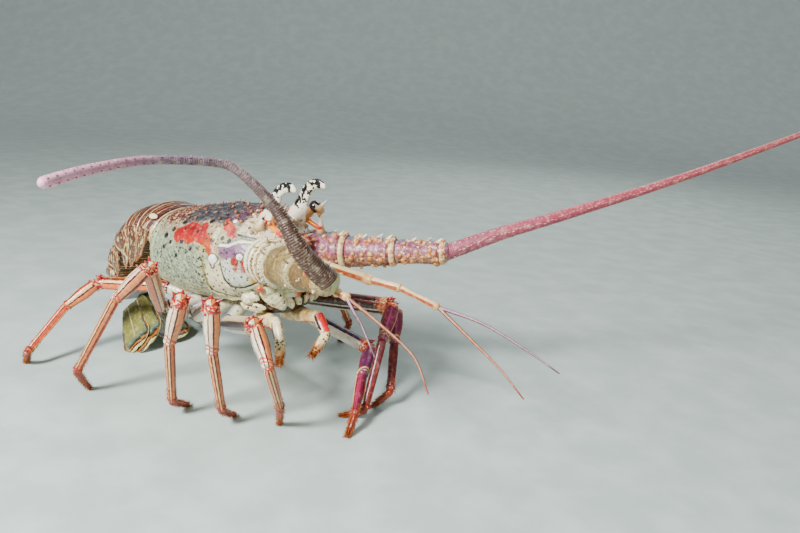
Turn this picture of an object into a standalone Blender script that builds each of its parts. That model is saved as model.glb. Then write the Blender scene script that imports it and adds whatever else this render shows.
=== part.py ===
"""A spiny lobster standing on its ten legs with its tail curled under, as one still model.

Lengths below are in millimetres; to_mesh turns them into metres. X is forward, Y is the
lobster's left, Z is up and the feet stand on z = 0.
"""
import math

import bmesh
import bpy
import numpy as np
from mathutils import Matrix, Vector

MM = 0.001
GAP = 0.3
PITCH = math.radians(7.4)
RIDE = 79.5
SHIFT = (-121.7, -95.4, 0.0)

SHELL_N = 30
PED_R = [(44, -17, 87), (64, -24, 89), (87, -32, 91), (110, -39, 92.5)]
PED_R_RAD = [16.0, 13.5, 10.5, 7.6]
PED_L = [(44, 17, 87), (71, 27, 90), (99, 39, 93.5), (127, 51, 96.5)]
PED_L_RAD = [15.0, 11.0, 8.6, 6.9]
LASH_R = [(110, -39, 93), (102, -52, 110), (90, -57.5, 130), (77, -69, 147), (70, -79, 151.5),
          (66, -112, 154), (73, -144, 153), (84, -171, 151)]
LASH_R_RAD = [6.4, 5.0, 3.1, 2.3, 2.1, 2.1, 2.2, 2.4]
LASH_L = [(127, 51, 96.5), (150, 75, 109), (176, 101, 121), (227, 166, 146),
          (282, 244, 177), (330, 315, 205), (360, 362, 222)]
LASH_L_RAD = [5.0, 4.2, 3.5, 2.6, 1.9, 1.3, 0.7]
ANNULE_R = [(55, -6, 84), (90, -17, 82), (107, -27, 83.5), (121.7, -37.4, 87)]
ANNULE_L = [(55, 6, 86), (107.5, 3.5, 84), (123, 9, 82), (144, 17, 74)]
ANNULE_RAD = [3.6, 2.8, 2.3, 2.0]
FINE_R = [[(122, -37.5, 86.5), (127, -37.5, 80), (131, -35, 72), (139, -34, 58)],
          [(122, -37.5, 86.5), (137, -30, 75), (155, -22, 59), (167, -24.5, 43)]]
FINE_L = [[(144, 17, 74), (169, 26, 68), (195, 34, 56), (211, 39, 47)],
          [(144, 17, 74), (162, 19, 62), (182.5, 22.5, 47), (198.5, 24, 33)]]
JAW_R = [(32, -11, 48), (61, -25, 53), (69, -30, 44), (75.5, -37, 35)]
JAW_L = [(34, 8, 45.5), (74, -3, 55.5), (83, -6, 47), (82, -18, 36)]
LEGS = {
    "leg_right_1": [(17.5, -9, 52), (18.7, -25, 42), (76.8, -57.1, 64.4), (96.1, -66.2, 48.7),
                    (87.3, -47.7, 16.1), (78.4, -39, 0)],
    "leg_right_2": [(7.6, -11, 51), (-1.4, -31, 43.5), (65.8, -77.3, 77.8), (62.6, -74.2, 50.2),
                    (58.5, -64.1, 11.2), (52.3, -48.5, 0)],
    "leg_right_3": [(-4.3, -13, 50), (-17, -30, 41), (46.3, -81.3, 77), (37.1, -81.7, 50.3),
                    (28.7, -74.3, 10.4), (22.5, -57.8, 0)],
    "leg_right_4": [(-16, -15, 49), (-31, -36, 43), (3.2, -68.9, 83.8), (-10.9, -81.7, 63.3),
                    (-32.3, -94.7, 16.7), (-37.5, -83.7, 0)],
    "leg_right_5": [(-31, -15, 47.5), (-46, -21.5, 51), (-86.7, -45, 49.1), (-93, -64.8, 35),
                    (-92.2, -92.7, 10.7), (-101.5, -88.7, 0)],
    "leg_left_1": [(17.5, 9, 52), (25, 17, 48), (88, 33, 28), (99, 10, 20),
                   (114.5, -15.7, 9), (117, -25.3, 0)],
    "leg_left_2": [(7.6, 11, 51), (15, 23, 52), (95.6, 43.7, 56.6), (104.5, 21.3, 41.6),
                   (111, -1.5, 5.6), (97.3, -8.3, 0)],
    "leg_left_3": [(-4.3, 13, 50), (2, 29, 46), (90, 56.5, 49), (101, 40, 32.5),
                   (112.6, 21.8, 9.8), (104.7, 13, 0)],
    "leg_left_4": [(-15.2, 15, 49), (-13, 31, 49), (8, 72, 70), (14, 82, 46),
                   (23, 93, 12), (22, 84, 0)],
    "leg_left_5": [(-27, 16, 47), (-33, 31, 46), (-80, 58, 58), (-92, 72, 38),
                   (-104, 94, 12), (-109, 86, 0)],
}
TAIL_PATH = [(-50, 101.5), (-63, 103), (-77, 100.5), (-91, 93), (-103, 80.5), (-112, 66),
             (-117, 50), (-114.5, 35), (-105, 24)]
TAIL_HALF = [27.5, 28, 28, 27, 26, 24, 21.5]
TAIL_DEEP = [31, 31, 30, 27.5, 25, 22, 19]
FLAP_DEEP = [1.22, 1.3, 1.2, 1.06, 1.0]
FLAP_BACK = [3, 9, 10, 9, 7]
HORN = [(39, 11.5, 19.5), (46, 12, 27), (49.5, 12.3, 34), (53.5, 12.6, 40.5), (59, 12.8, 44),
        (64, 12.8, 44.3), (68, 12.6, 42)]
STALK_SPINES = [(0.35, 95, 1.0), (0.35, 40, 1.0), (0.62, 65, 1.3), (0.85, 100, 1.4), (0.85, 35, 1.5),
                (0.88, -30, 1.0), (0.88, 160, 1.0)]

PAINT = {
    "shell": ((0.36, 0.33, 0.26), 0.45),
    "under": ((0.62, 0.58, 0.46), 0.5),
    "horny": ((0.45, 0.30, 0.26), 0.45),
    "eye": ((0.02, 0.02, 0.025), 0.12),
    "lash": ((0.45, 0.26, 0.28), 0.55),
    "leg": ((0.60, 0.24, 0.14), 0.4),
    "tail": ((0.30, 0.13, 0.09), 0.42),
    "fan": ((0.40, 0.36, 0.12), 0.42),
}


def unit(v):
    v = np.asarray(v, float)
    return v / np.linalg.norm(v, axis=-1, keepdims=True)


def place(points):
    """Body coordinates, with the middle of the shell at the origin, to standing ones."""
    p = np.asarray(points, float)
    c, s = math.cos(PITCH), math.sin(PITCH)
    return np.stack([p[..., 0] * c - p[..., 2] * s, p[..., 1],
                     p[..., 0] * s + p[..., 2] * c + RIDE], -1)


def smooth(points, count):
    """A Catmull-Rom curve through the points, at evenly spaced values of its parameter."""
    p = np.asarray(points, float)
    p = np.vstack([2 * p[0] - p[1], p, 2 * p[-1] - p[-2]])
    t = np.linspace(0, len(p) - 3, count)
    i = np.minimum(t.astype(int), len(p) - 4)
    f = (t - i)[:, None]
    a, b, c, d = p[i], p[i + 1], p[i + 2], p[i + 3]
    return 0.5 * (2 * b + (c - a) * f + (2 * a - 5 * b + 4 * c - d) * f ** 2
                  + (3 * b - a - 3 * c + d) * f ** 3)


def from_bmesh(name, bm):
    """An object of a closed mesh, with its faces turned out."""
    bmesh.ops.recalc_face_normals(bm, faces=bm.faces)
    if bm.calc_volume(signed=True) < 0:
        bmesh.ops.reverse_faces(bm, faces=bm.faces)
    mesh = bpy.data.meshes.new(name)
    bm.to_mesh(mesh)
    bm.free()
    return bpy.data.objects.new(name, mesh)


def to_mesh(name, verts, faces):
    mesh = bpy.data.meshes.new(name)
    v = (np.asarray(verts, float) + SHIFT) * MM
    mesh.from_pydata(v.tolist(), [], faces)
    bm = bmesh.new()
    bm.from_mesh(mesh)
    bpy.data.meshes.remove(mesh)
    return from_bmesh(name, bm)


def loft(name, rings):
    """A closed body from rings of equal length, with a face across each end."""
    rings = np.asarray(rings, float)
    m, n = rings.shape[:2]
    faces = [tuple(range(n))[::-1], tuple(range((m - 1) * n, m * n))]
    for i in range(m - 1):
        for j in range(n):
            k = (j + 1) % n
            faces.append((i * n + j, i * n + k, i * n + n + k, i * n + n + j))
    return to_mesh(name, rings.reshape(-1, 3), faces)


def oval(n, power=2.0):
    """Points round a unit superellipse."""
    a = np.arange(n) * 2 * math.pi / n
    c, s = np.cos(a), np.sin(a)
    return (np.sign(c) * np.abs(c) ** (2 / power), np.sign(s) * np.abs(s) ** (2 / power))


def tube(name, path, wide, high, side=(0, 1, 0), n=8, power=2.0, along=None):
    """Ovals set along a path, wide along the side direction and high across it."""
    path = np.asarray(path, float)
    if along is None:
        along = unit(np.gradient(path, axis=0))
    across = unit(np.asarray(side, float) - along * (along @ np.asarray(side, float))[:, None])
    up = np.cross(along, across)
    c, s = oval(n, power)
    w = np.broadcast_to(wide, len(path))[:, None, None]
    h = np.broadcast_to(high, len(path))[:, None, None]
    rings = path[:, None] + w * c[None, :, None] * across[:, None] + h * s[None, :, None] * up[:, None]
    return loft(name, rings)


def limb(name, a, b, start, middle, end, side, flat=1.0, n=7, sunk=0.0):
    """One leg or feeler joint: a rounded tapering bar from a to b."""
    a, b = np.asarray(a, float), np.asarray(b, float)
    d = unit(b - a)
    a = a - d * sunk
    t = np.array([0, 0.07, 0.45, 0.93, 1.0])
    r = np.array([start * 0.7, start, middle, end, end * 0.7])
    path = a + (b - a) * t[:, None]
    return tube(name, path, r, r * flat, side, n)


def turned(way):
    """The turn that sets a shape's own Z along a direction."""
    return Vector(unit(way)).to_track_quat("Z", "X").to_matrix().to_4x4()


def spike(base, way, length, radius, sides=4):
    """A tapering spine whose root is sunk well below its foot."""
    depth = length + radius * 1.3
    mid = np.asarray(base, float) + unit(way) * (length - radius * 1.3) / 2
    bm = bmesh.new()
    bmesh.ops.create_cone(bm, cap_ends=True, segments=sides, radius1=radius * 1.25 * MM, radius2=0,
                          depth=depth * MM, matrix=Matrix.Translation((mid + SHIFT) * MM) @ turned(way))
    bmesh.ops.remove_doubles(bm, verts=bm.verts, dist=0.000001)
    return from_bmesh("spike", bm)


def ball(name, centre, way, long, wide, high, n=10):
    """A rounded lobe with its long half-axis along a direction."""
    bm = bmesh.new()
    size = Matrix.Diagonal((wide * MM, high * MM, long * MM, 1))
    here = Matrix.Translation((np.asarray(centre, float) + SHIFT) * MM)
    bmesh.ops.create_uvsphere(bm, u_segments=n, v_segments=n // 2 + 1, radius=1.0,
                              matrix=here @ turned(way) @ size)
    return from_bmesh(name, bm)


def clean(bm):
    """Welds what the joining left within two microns and closes what that opens."""
    bmesh.ops.triangulate(bm, faces=bm.faces)
    bmesh.ops.remove_doubles(bm, verts=bm.verts, dist=0.000002)
    bmesh.ops.dissolve_degenerate(bm, dist=0.000002, edges=bm.edges)
    bmesh.ops.triangulate(bm, faces=bm.faces)
    twins = {}
    for f in bm.faces:
        twins.setdefault(frozenset(f.verts), []).append(f)
    bmesh.ops.delete(bm, geom=[f for g in twins.values() if len(g) > 1 for f in g], context="FACES_ONLY")
    bmesh.ops.delete(bm, geom=[e for e in bm.edges if not e.link_faces], context="EDGES")
    bmesh.ops.delete(bm, geom=[v for v in bm.verts if not v.link_faces], context="VERTS")
    rim = [e for e in bm.edges if len(e.link_faces) == 1]
    if rim:
        bmesh.ops.holes_fill(bm, edges=rim, sides=0)
        bmesh.ops.triangulate(bm, faces=bm.faces)


def keep_largest(obj):
    """Leaves only the closed surface with the most room inside."""
    bm = bmesh.new()
    bm.from_mesh(obj.data)
    clean(bm)
    bm.faces.ensure_lookup_table()
    left, best, room = list(bm.faces), None, -1.0
    seen = set()
    for seed in left:
        if seed in seen:
            continue
        seen.add(seed)
        group, queue = [seed], [seed]
        while queue:
            for e in queue.pop().edges:
                for f in e.link_faces:
                    if f not in seen:
                        seen.add(f)
                        group.append(f)
                        queue.append(f)
        volume = 0.0
        for f in group:
            a, b, c = [v.co for v in f.verts]
            volume += a.dot(b.cross(c)) / 6
        if abs(volume) > room:
            best, room = set(group), abs(volume)
    bmesh.ops.delete(bm, geom=[f for f in bm.faces if f not in best], context="FACES")
    bm.to_mesh(obj.data)
    bm.free()


def apply_boolean(obj, operation, others):
    pool = bpy.data.collections.new("pool")
    bpy.context.scene.collection.children.link(pool)
    for o in others:
        pool.objects.link(o)
    linked = obj.name in bpy.context.scene.collection.objects
    if not linked:
        bpy.context.scene.collection.objects.link(obj)
    mod = obj.modifiers.new("join", "BOOLEAN")
    mod.operation = operation
    mod.operand_type = "COLLECTION"
    mod.collection = pool
    mod.solver = "EXACT"
    mod.use_self = False
    bpy.context.view_layer.update()
    graph = bpy.context.evaluated_depsgraph_get()
    mesh = bpy.data.meshes.new_from_object(obj.evaluated_get(graph))
    obj.modifiers.clear()
    old = obj.data
    obj.data = mesh
    bpy.data.meshes.remove(old)
    if not linked:
        bpy.context.scene.collection.objects.unlink(obj)
    for o in others:
        bpy.data.objects.remove(o)
    bpy.data.collections.remove(pool)


def union(name, pieces):
    body = pieces[0]
    if len(pieces) > 1:
        apply_boolean(body, "UNION", pieces[1:])
    body.name = name
    return body


def grown(obj, by=GAP):
    """A copy of a body with its surface moved out by the gap."""
    bm = bmesh.new()
    bm.from_mesh(obj.data)
    bm.normal_update()
    move = {v: v.normal * (by * MM * min(v.calc_shell_factor(), 2.0)) for v in bm.verts}
    for v, m in move.items():
        v.co += m
    mesh = bpy.data.meshes.new("grown")
    bm.to_mesh(mesh)
    bm.free()
    return bpy.data.objects.new("grown", mesh)


def seat(child, parents):
    """Cuts the parents, grown by the gap, out of the child so that it meets them face to face."""
    apply_boolean(child, "DIFFERENCE", [grown(p) for p in parents])


def stand(obj):
    """Cuts a foot off flat at the floor."""
    bm = bmesh.new()
    bm.from_mesh(obj.data)
    cut = bmesh.ops.bisect_plane(bm, geom=bm.verts[:] + bm.edges[:] + bm.faces[:],
                                 plane_co=(0, 0, 0), plane_no=(0, 0, -1), clear_outer=True)
    rim = [g for g in cut["geom_cut"] if isinstance(g, bmesh.types.BMEdge)]
    bmesh.ops.contextual_create(bm, geom=rim)
    bmesh.ops.recalc_face_normals(bm, faces=bm.faces)
    bm.to_mesh(obj.data)
    bm.free()


def shell_outline(x):
    """Top, half-width and underside of the shell at a body x, from a few stations."""
    at = [-50, -45, -20, 0, 20, 36, 44, 49]
    top = np.interp(x, at, [27.0, 28.5, 31.2, 33, 32.5, 29.5, 25, 19])
    half = np.interp(x, at, [30.0, 32, 34.5, 35, 33.5, 30, 26.5, 20])
    low = np.interp(x, at, [-19, -21, -25, -26.5, -26.5, -25, -21, -14])
    dip = 1.3 * np.exp(-((x - 8) / 2.2) ** 2)
    return top - dip, half - dip, low


def shell_ring(x, n, power=2.15):
    """One cross-section of the shell in body coordinates: arched above, squarer below."""
    top, half, low = shell_outline(x)
    a = np.arange(n) * 2 * math.pi / n
    c, s = np.cos(a), np.sin(a)
    p = np.where(s < 0, 3.4, power)
    y = half * np.sign(c) * np.abs(c) ** (2 / p)
    z = np.where(s > 0, top, -low) * np.sign(s) * np.abs(s) ** (2 / p)
    return np.stack([np.full(n, float(x)), y * np.where(s < 0, 1 - 0.07 * np.abs(s), 1.0), z], -1)


def on_shell(x, angle, power=2.15):
    """A point on the shell and the way out from it, by body x and angle up from the side."""
    top, half, low = shell_outline(x)
    a = math.radians(angle)
    c, s = math.cos(a), math.sin(a)
    y = half * np.sign(c) * abs(c) ** (2 / power)
    z = (top if s > 0 else -low) * np.sign(s) * abs(s) ** (2 / power)
    return np.array([x, y, z]), unit((0.0, y / half ** 2, z / top ** 2))


def shell_body():
    xs = [-50, -49.2, -45, -38, -28, -17, -6, 3, 6, 8, 10, 13, 20, 28, 35, 41, 45, 48, 49.2]
    rings = [place(shell_ring(x, SHELL_N)) for x in xs]
    rings[0] = rings[0].mean(0) + (rings[0] - rings[0].mean(0)) * 0.96
    rings[-1] = rings[-1].mean(0) + (rings[-1] - rings[-1].mean(0)) * 0.94
    return loft("shell", rings)


def horn(side):
    """The strong brow horn over an eye: a flat broad root, steep, then hooked forward."""
    path = place(smooth([(x, y * side, z) for x, y, z in HORN], 13))
    high = np.interp(np.linspace(0, 1, 13), [0, 0.17, 0.33, 0.5, 0.83, 1], [8.5, 6.2, 4.2, 3.6, 2.9, 0.5])
    return tube("brow_horn_left" if side > 0 else "brow_horn_right", path, high * 0.55, high, n=8)


def shell_spikes():
    """Rows of forward-leaning spines, strong behind the brows and weaker to the rear."""
    spikes = []
    for side in (1, -1):
        root = place((43, side * 18.5, 22.5))
        spikes.append(spike(root, (0.55, side * 0.22, 0.75), 10, 2.0, 5))
    rows = [(38, (78,), 5.0), (30, (50, 68, 84), 4.6), (21, (44, 62, 80), 4.2), (13, (50, 72), 3.4),
            (-2, (58, 80), 3.0), (-16, (52, 76), 2.8), (-30, (60, 82), 2.6)]
    for x, angles, length in rows:
        for angle in angles:
            for side in (1, -1):
                point, out = on_shell(x, angle)
                point[1] *= side
                out[1] *= side
                root, tip = place(point), place(point + out)
                spikes.append(spike(root, (tip - root) + (0.75, 0, 0.1), length, length * 0.32))
    return spikes


def carapace():
    core = shell_body()
    body = core.copy()
    body.data = core.data.copy()
    return union("carapace", [body] + shell_spikes()), core


def sternum():
    """The plate under the chest between the legs, wider to the rear."""
    xs = np.array([30, 28, 18, 0, -18, -32, -38, -39])
    half = np.array([6, 8, 10.5, 13.5, 17, 20.5, 19, 15])
    low = np.array([-25, -30, -33, -33.5, -33.5, -32.5, -30, -25])
    c, s = oval(16, 2.6)
    rings = [place(np.stack([np.full(16, x), h * c, -20 + np.where(s > 0, 2 * s, (20 + z) * -s)], -1))
             for x, h, z in zip(xs, half, low)]
    return loft("sternum", rings)


def abdomen_frame(t):
    """Dorsal point, the way along and the way in, at a place t from 0 to 6 along the tail."""
    fine = smooth([(x, 0, z) for x, z in TAIL_PATH], 181)
    along = unit(np.gradient(fine, axis=0))
    f = t / 6 * 180
    i = min(int(f), 179)
    p = fine[i] + (fine[i + 1] - fine[i]) * (f - i)
    a = unit(along[i] + (along[i + 1] - along[i]) * (f - i))
    return p, a, np.cross(a, (0, 1, 0))


def abdomen_ring(t, puff, n=20):
    """A tail section: an arch over the back closed by a shallow belly."""
    p, a, inward = abdomen_frame(t)
    if inward @ (np.array([-70.0, 0, 40]) - p) < 0:
        inward = -inward
    half = np.interp(t, range(7), TAIL_HALF) * puff
    deep = np.interp(t, range(7), TAIL_DEEP)
    c, s = oval(n, 2.1)
    drop = np.where(s > 0, deep * 0.62 * (1 - s), deep * 0.62 + deep * 0.38 * -s)
    drop = drop + deep * (1 - puff) * 0.5
    side = half * c * np.where(s < 0, 1 - 0.25 * s ** 2, 1)
    return p + side[:, None] * np.array([0, 1.0, 0]) + drop[:, None] * inward


def abdomen_segment(k):
    """One tail segment, a little flared at its rear edge, with a pointed flap at each side."""
    e = 0.012
    stops = [(k + e, 0.965), (k + 0.1, 0.985), (k + 0.35, 1.0), (k + 0.7, 1.015), (k + 0.92, 1.03),
             (k + 1 - e, 1.0)]
    body = loft("segment", [abdomen_ring(t, puff) for t, puff in stops])
    pieces = [body]
    p, a, inward = abdomen_frame(k + 0.5)
    if inward @ (np.array([-70.0, 0, 40]) - p) < 0:
        inward = -inward
    deep = np.interp(k + 0.5, range(7), TAIL_DEEP)
    half = np.interp(k + 0.5, range(7), TAIL_HALF)
    if k < 5:
        for side in (1, -1):
            start = p + inward * deep * 0.5 + np.array([0, side * half * 0.9, 0])
            end = p + inward * deep * FLAP_DEEP[k] + np.array([0, side * half * 1.04, 0])
            wide = np.array([4.4, 4.2, 3.2, 0.8]) * (0.75, 1.0, 0.95, 0.85, 0.75)[k]
            path = start + (end - start) * np.array([0, 0.4, 0.75, 1])[:, None]
            path = path + a * FLAP_BACK[k] * np.array([0, 0.12, 0.5, 1])[:, None]
            pieces.append(tube("flap", path, wide, wide * 0.42, side=a, n=6))
    return union("abdomen_%d" % (k + 1), pieces)


def plate(name, root, way, out, up, length, wide, cup, curl, thick=1.6, n=10, m=6):
    """A tail-fan blade: rounded, cupped across and curled along."""
    root, way, up = np.asarray(root, float), unit(way), unit(up)
    out = unit(out)
    u = np.linspace(0, 1, m)
    spread = wide * np.interp(u, [0, 0.15, 0.45, 0.75, 0.93, 1], [0.42, 0.6, 0.86, 1.0, 0.78, 0.4])
    rings = []
    for i in range(m):
        v = np.cos(np.arange(n) * 2 * math.pi / n)
        w = np.sin(np.arange(n) * 2 * math.pi / n)
        body = thick / 2 * (1.15 - 0.55 * u[i])
        mid = root + way * length * u[i] + up * (curl * u[i] ** 2)
        ring = mid + out * (v * spread[i])[:, None] + up * (w * body + cup * v ** 2 * u[i])[:, None]
        rings.append(ring)
    return loft(name, rings)


def tail_fan():
    """The telson and its four side blades, spread down and forward under the curled tail."""
    hub = np.array([-98.0, 0, 28.5])
    telson = plate("telson", hub, (0.82, 0, -0.57), (0, 1, 0), (0.57, 0, 0.82), 46, 14, 0.0, 2, 2.4)
    fan = {"telson": telson}
    for side, word in ((1, "left"), (-1, "right")):
        way, out = (0.80, side * 0.33, -0.50), (-0.10, side * 0.76, -0.64)
        up = np.cross(way, out) * side
        inner = plate("in", hub + (3, side * 9.5, -1.5), way, out, up, 44, 13.5, -1.5, 2)
        way, out = (0.82, side * 0.38, -0.42), (-0.33, side * 0.66, -0.67)
        up = np.cross(way, out) * side
        outer = plate("out", hub + (0, side * 15, -7), way, out, up, 41, 11.5, -1.5, 1)
        seat(outer, [inner])
        fan["fan_inner_" + word] = inner
        fan["fan_outer_" + word] = outer
    return fan


def forked_spine(foot, out, forward):
    """A long spine with a branch leaning back from its middle."""
    way = unit(out + forward * 0.35)
    return [spike(foot, way, 15, 1.5, 5), spike(foot + way * 7, out - forward * 0.8, 7, 0.9)]


def antenna_base(word, path, radii):
    """The stalk of a big feeler: three thick joints, each ringed and set with spines."""
    p = np.asarray(path, float)
    sign = -1 if word == "right" else 1
    pieces = []
    for i in range(3):
        d = unit(p[i + 1] - p[i])
        a, b = radii[i], radii[i + 1]
        length = np.linalg.norm(p[i + 1] - p[i])
        t = np.array([-0.12, 0.02, 0.5, 0.85, 0.95, 1.0])
        r = np.array([a * 0.65, a * 0.96, (a + b) * 0.5, b * 1.1, b * 1.06, b * 0.8])
        if i == 2:
            t = np.append(t, [1.0 + 2.0 / length, 1.0 + 3.4 / length])
            r = np.append(r, [b * 0.66, b * 0.3])
        pieces.append(tube("joint", p[i] + d * (t * length)[:, None], r, r * 0.92, n=12))
        side = unit(np.cross(d, (0, 0, 1)))
        up = np.cross(side, d)
        for t, angle, grow in STALK_SPINES:
            ang = math.radians(angle)
            out = up * math.sin(ang) + side * (math.cos(ang) * -sign)
            rad = a + (b - a) * t
            foot = p[i] + d * length * t + out * rad * 0.92
            if word == "left" and i == 0 and t == 0.35 and angle == 95:
                pieces += forked_spine(foot, out, d)
            else:
                pieces.append(spike(foot, out + d * 0.8, (3.4 + 0.12 * rad) * grow, 1.25))
    return union("antenna_base_" + word, pieces)


def lash(prefix, points, radii, cuts, end_blunt):
    """A feeler's whip, cut into lengths that are each nearly straight."""
    count = (len(points) - 1) * 6 + 1
    fine = smooth(points, count)
    place_at = np.linspace(0, len(points) - 1, count)
    r = np.interp(place_at, range(len(points)), radii)
    along = unit(np.gradient(fine, axis=0))
    nodes = []
    for k in range(len(cuts) - 1):
        i, j = cuts[k] * 3, cuts[k + 1] * 3
        path, rad = fine[i:j + 1].copy(), r[i:j + 1].copy()
        path[0] += along[i] * GAP / 2
        if j < count - 1:
            path[-1] -= along[j] * GAP / 2
        elif end_blunt:
            rad[-1] *= 0.75
        name = "%s_%d" % (prefix, k + 1)
        nodes.append(tube(name, path, rad, rad, (0.3, 0.4, -0.86), 7, along=along[i:j + 1]))
    return nodes


def antennule(word, path, fines):
    """The stalk of a small feeler in three joints, and its two fine whips."""
    p = np.asarray(path, float)
    side = unit(np.cross(p[3] - p[0], (0, 0, 1)))
    pieces = []
    for i in range(3):
        pieces.append(limb("joint", p[i], p[i + 1] + unit(p[i + 1] - p[i]) * 0.6, ANNULE_RAD[i] * 0.9,
                           ANNULE_RAD[i + 1] * 0.92, ANNULE_RAD[i + 1] * 1.12, side, n=7))
    stalk = union("antennule_" + word, pieces)
    nodes = [stalk]
    for k, points in enumerate(fines):
        fine = smooth(points, 13)
        fine[0] = fine[1] * 0.35 + fine[0] * 0.65
        r = np.linspace(1.15, 0.42, 13)
        nodes.append(tube("antennule_%s_whip_%d" % (word, k + 1), fine, r, r, side=(0, 0, 1), n=6))
    return nodes


def jaw_leg(word, path):
    """A third maxilliped: a strong inner joint, then two shorter ones folded down."""
    p = np.asarray(path, float)
    side = unit(np.cross(p[1] - p[0], p[3] - p[1]))
    pieces = [limb("a", p[0], p[1], 3.6, 4.2, 3.4, side, 1.1),
              limb("b", p[1], p[2], 3.1, 3.3, 3.0, side, 1.1, sunk=1.5),
              limb("c", p[2], p[3], 3.0, 2.9, 1.3, side, 1.0, sunk=1.5)]
    return union("maxilliped_" + word, pieces)


def leg(name, path):
    """A walking leg in two nodes, parted at the knee, with spines on the knee joint."""
    hip, mid, knee, wrist, ankle, tip = [np.asarray(q, float) for q in path]
    side = unit(np.cross(knee - mid, ankle - knee))
    front = name.endswith("_1") or name.endswith("left_2") or name.endswith("left_3")
    big = 1.12 if name == "leg_right_1" else 1.0 if front else 0.96
    upper = [limb("hip", hip, mid, 4.3, 4.5, 4.1, side, 1.05, sunk=1.0),
             limb("thigh", mid, knee, 3.8 * big, 4.3 * big, 4.3 * big, side, 1.12, sunk=2.0)]
    out = unit(knee - mid)
    up = unit(np.cross(side, out))
    if up[2] < 0:
        up = -up
    for across, lift, length in ((0, 1, 4.2), (0.8, 0.5, 3.4), (-0.8, 0.5, 3.4)):
        way = unit(up * lift + side * across)
        upper.append(spike(knee - out * 3.2 + way * 3.7, way + out * 0.9, length, 1.25))
    top = union(name + "_upper", upper)
    d = unit(wrist - knee)
    tip = tip + unit(tip - ankle) * 1.6
    stout = 1.18 if name == "leg_left_1" else 1.0
    lower = [limb("shin", knee + d * 1.0, wrist, 4.0, 4.4, 3.4, side, 1.05),
             limb("shank", wrist, ankle, 2.9 * stout, 2.7 * stout, 2.4, side, 1.0, sunk=1.5),
             limb("toe", ankle, tip, 2.2, 1.8, 1.3, side, 1.0, sunk=1.2)]
    low = union(name + "_lower", lower)
    stand(low)
    return top, low


def eye(side):
    """A stalked eye under its brow horn."""
    centre = place((56, side * 16, 30))
    inner = place((46, side * 11.5, 22))
    stem = limb("stem", inner, centre, 3.2, 3.0, 3.4, (0, 1, 0))
    orb = ball("orb", centre, centre - inner, 4.2, 4.6, 4.6)
    return union("eye_left" if side > 0 else "eye_right", [orb, stem])


def brow_plate():
    """The plate between the feelers, with four short spines."""
    pts = [(44, 0, 9), (50, 0, 11), (57, 0, 11), (62, 0, 9)]
    path = place(pts)
    pieces = [tube("plate", path, [7, 7.5, 6, 3.2], [4, 4, 3.2, 1.8], n=10)]
    for x, y in ((59, 3.4), (59, -3.4), (53, 4.4), (53, -4.4)):
        pieces.append(spike(place((x, y, 13.4)), (0.8, 0.12 * y, 0.6), 4.5, 1.2))
    return union("antennular_plate", pieces)


def mouth_frame():
    """The pale bar across the front below the feelers."""
    ys = np.linspace(-1, 1, 9)
    path = np.array([place((53.5 - 4.5 * v * v, 25 * v, -15 - 0.3 * v * v)) for v in ys])
    r = 4.6 * np.sqrt(1 - 0.7 * ys ** 2)
    return tube("epistome", path, r * 1.15, r, side=(1, 0, 0), n=10)


def mouth():
    """The closed jaws and small mouth feet, as one block of rounded lobes."""
    path = place([(30, 0, -24), (34, 0, -24.2), (44, 0, -24.2), (50, 0, -23), (53.5, 0, -21.5)])
    pieces = [tube("core", path, [12, 15, 16, 12, 6], [4.5, 5.4, 5.4, 5, 3], n=12)]
    lobes = ((48, 16.5, -23.5, 7.4, 6.0), (52.5, 6, -25.4, 4.6, 3.6), (41, 26.5, -18.5, 5.6, 5.0))
    for side in (1, -1):
        way = unit((0.75, 0.5 * side, -0.5))
        for x, y, z, long, wide in lobes:
            pieces.append(ball("lobe", place((x, y * side, z)), way, long, wide, wide))
        path = [(46, 25 * side, -15.5), (51, 17 * side, -18), (55, 8 * side, -20), (57, 2.5 * side, -21)]
        path = place(path)
        pieces.append(tube("palp", path, [2.6, 2.4, 1.9, 1.0], [2.4, 2.2, 1.8, 0.9], n=7))
    return union("mouthparts", pieces)


def paint(obj, kind):
    colour, rough = PAINT[kind]
    mat = bpy.data.materials.new(obj.name)
    mat.use_nodes = True
    node = mat.node_tree.nodes["Principled BSDF"]
    node.inputs["Base Color"].default_value = (*colour, 1)
    node.inputs["Roughness"].default_value = rough
    node.inputs["Metallic"].default_value = 0.0
    mat.diffuse_color = (*colour, 1)
    obj.data.materials.clear()
    obj.data.materials.append(mat)


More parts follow.
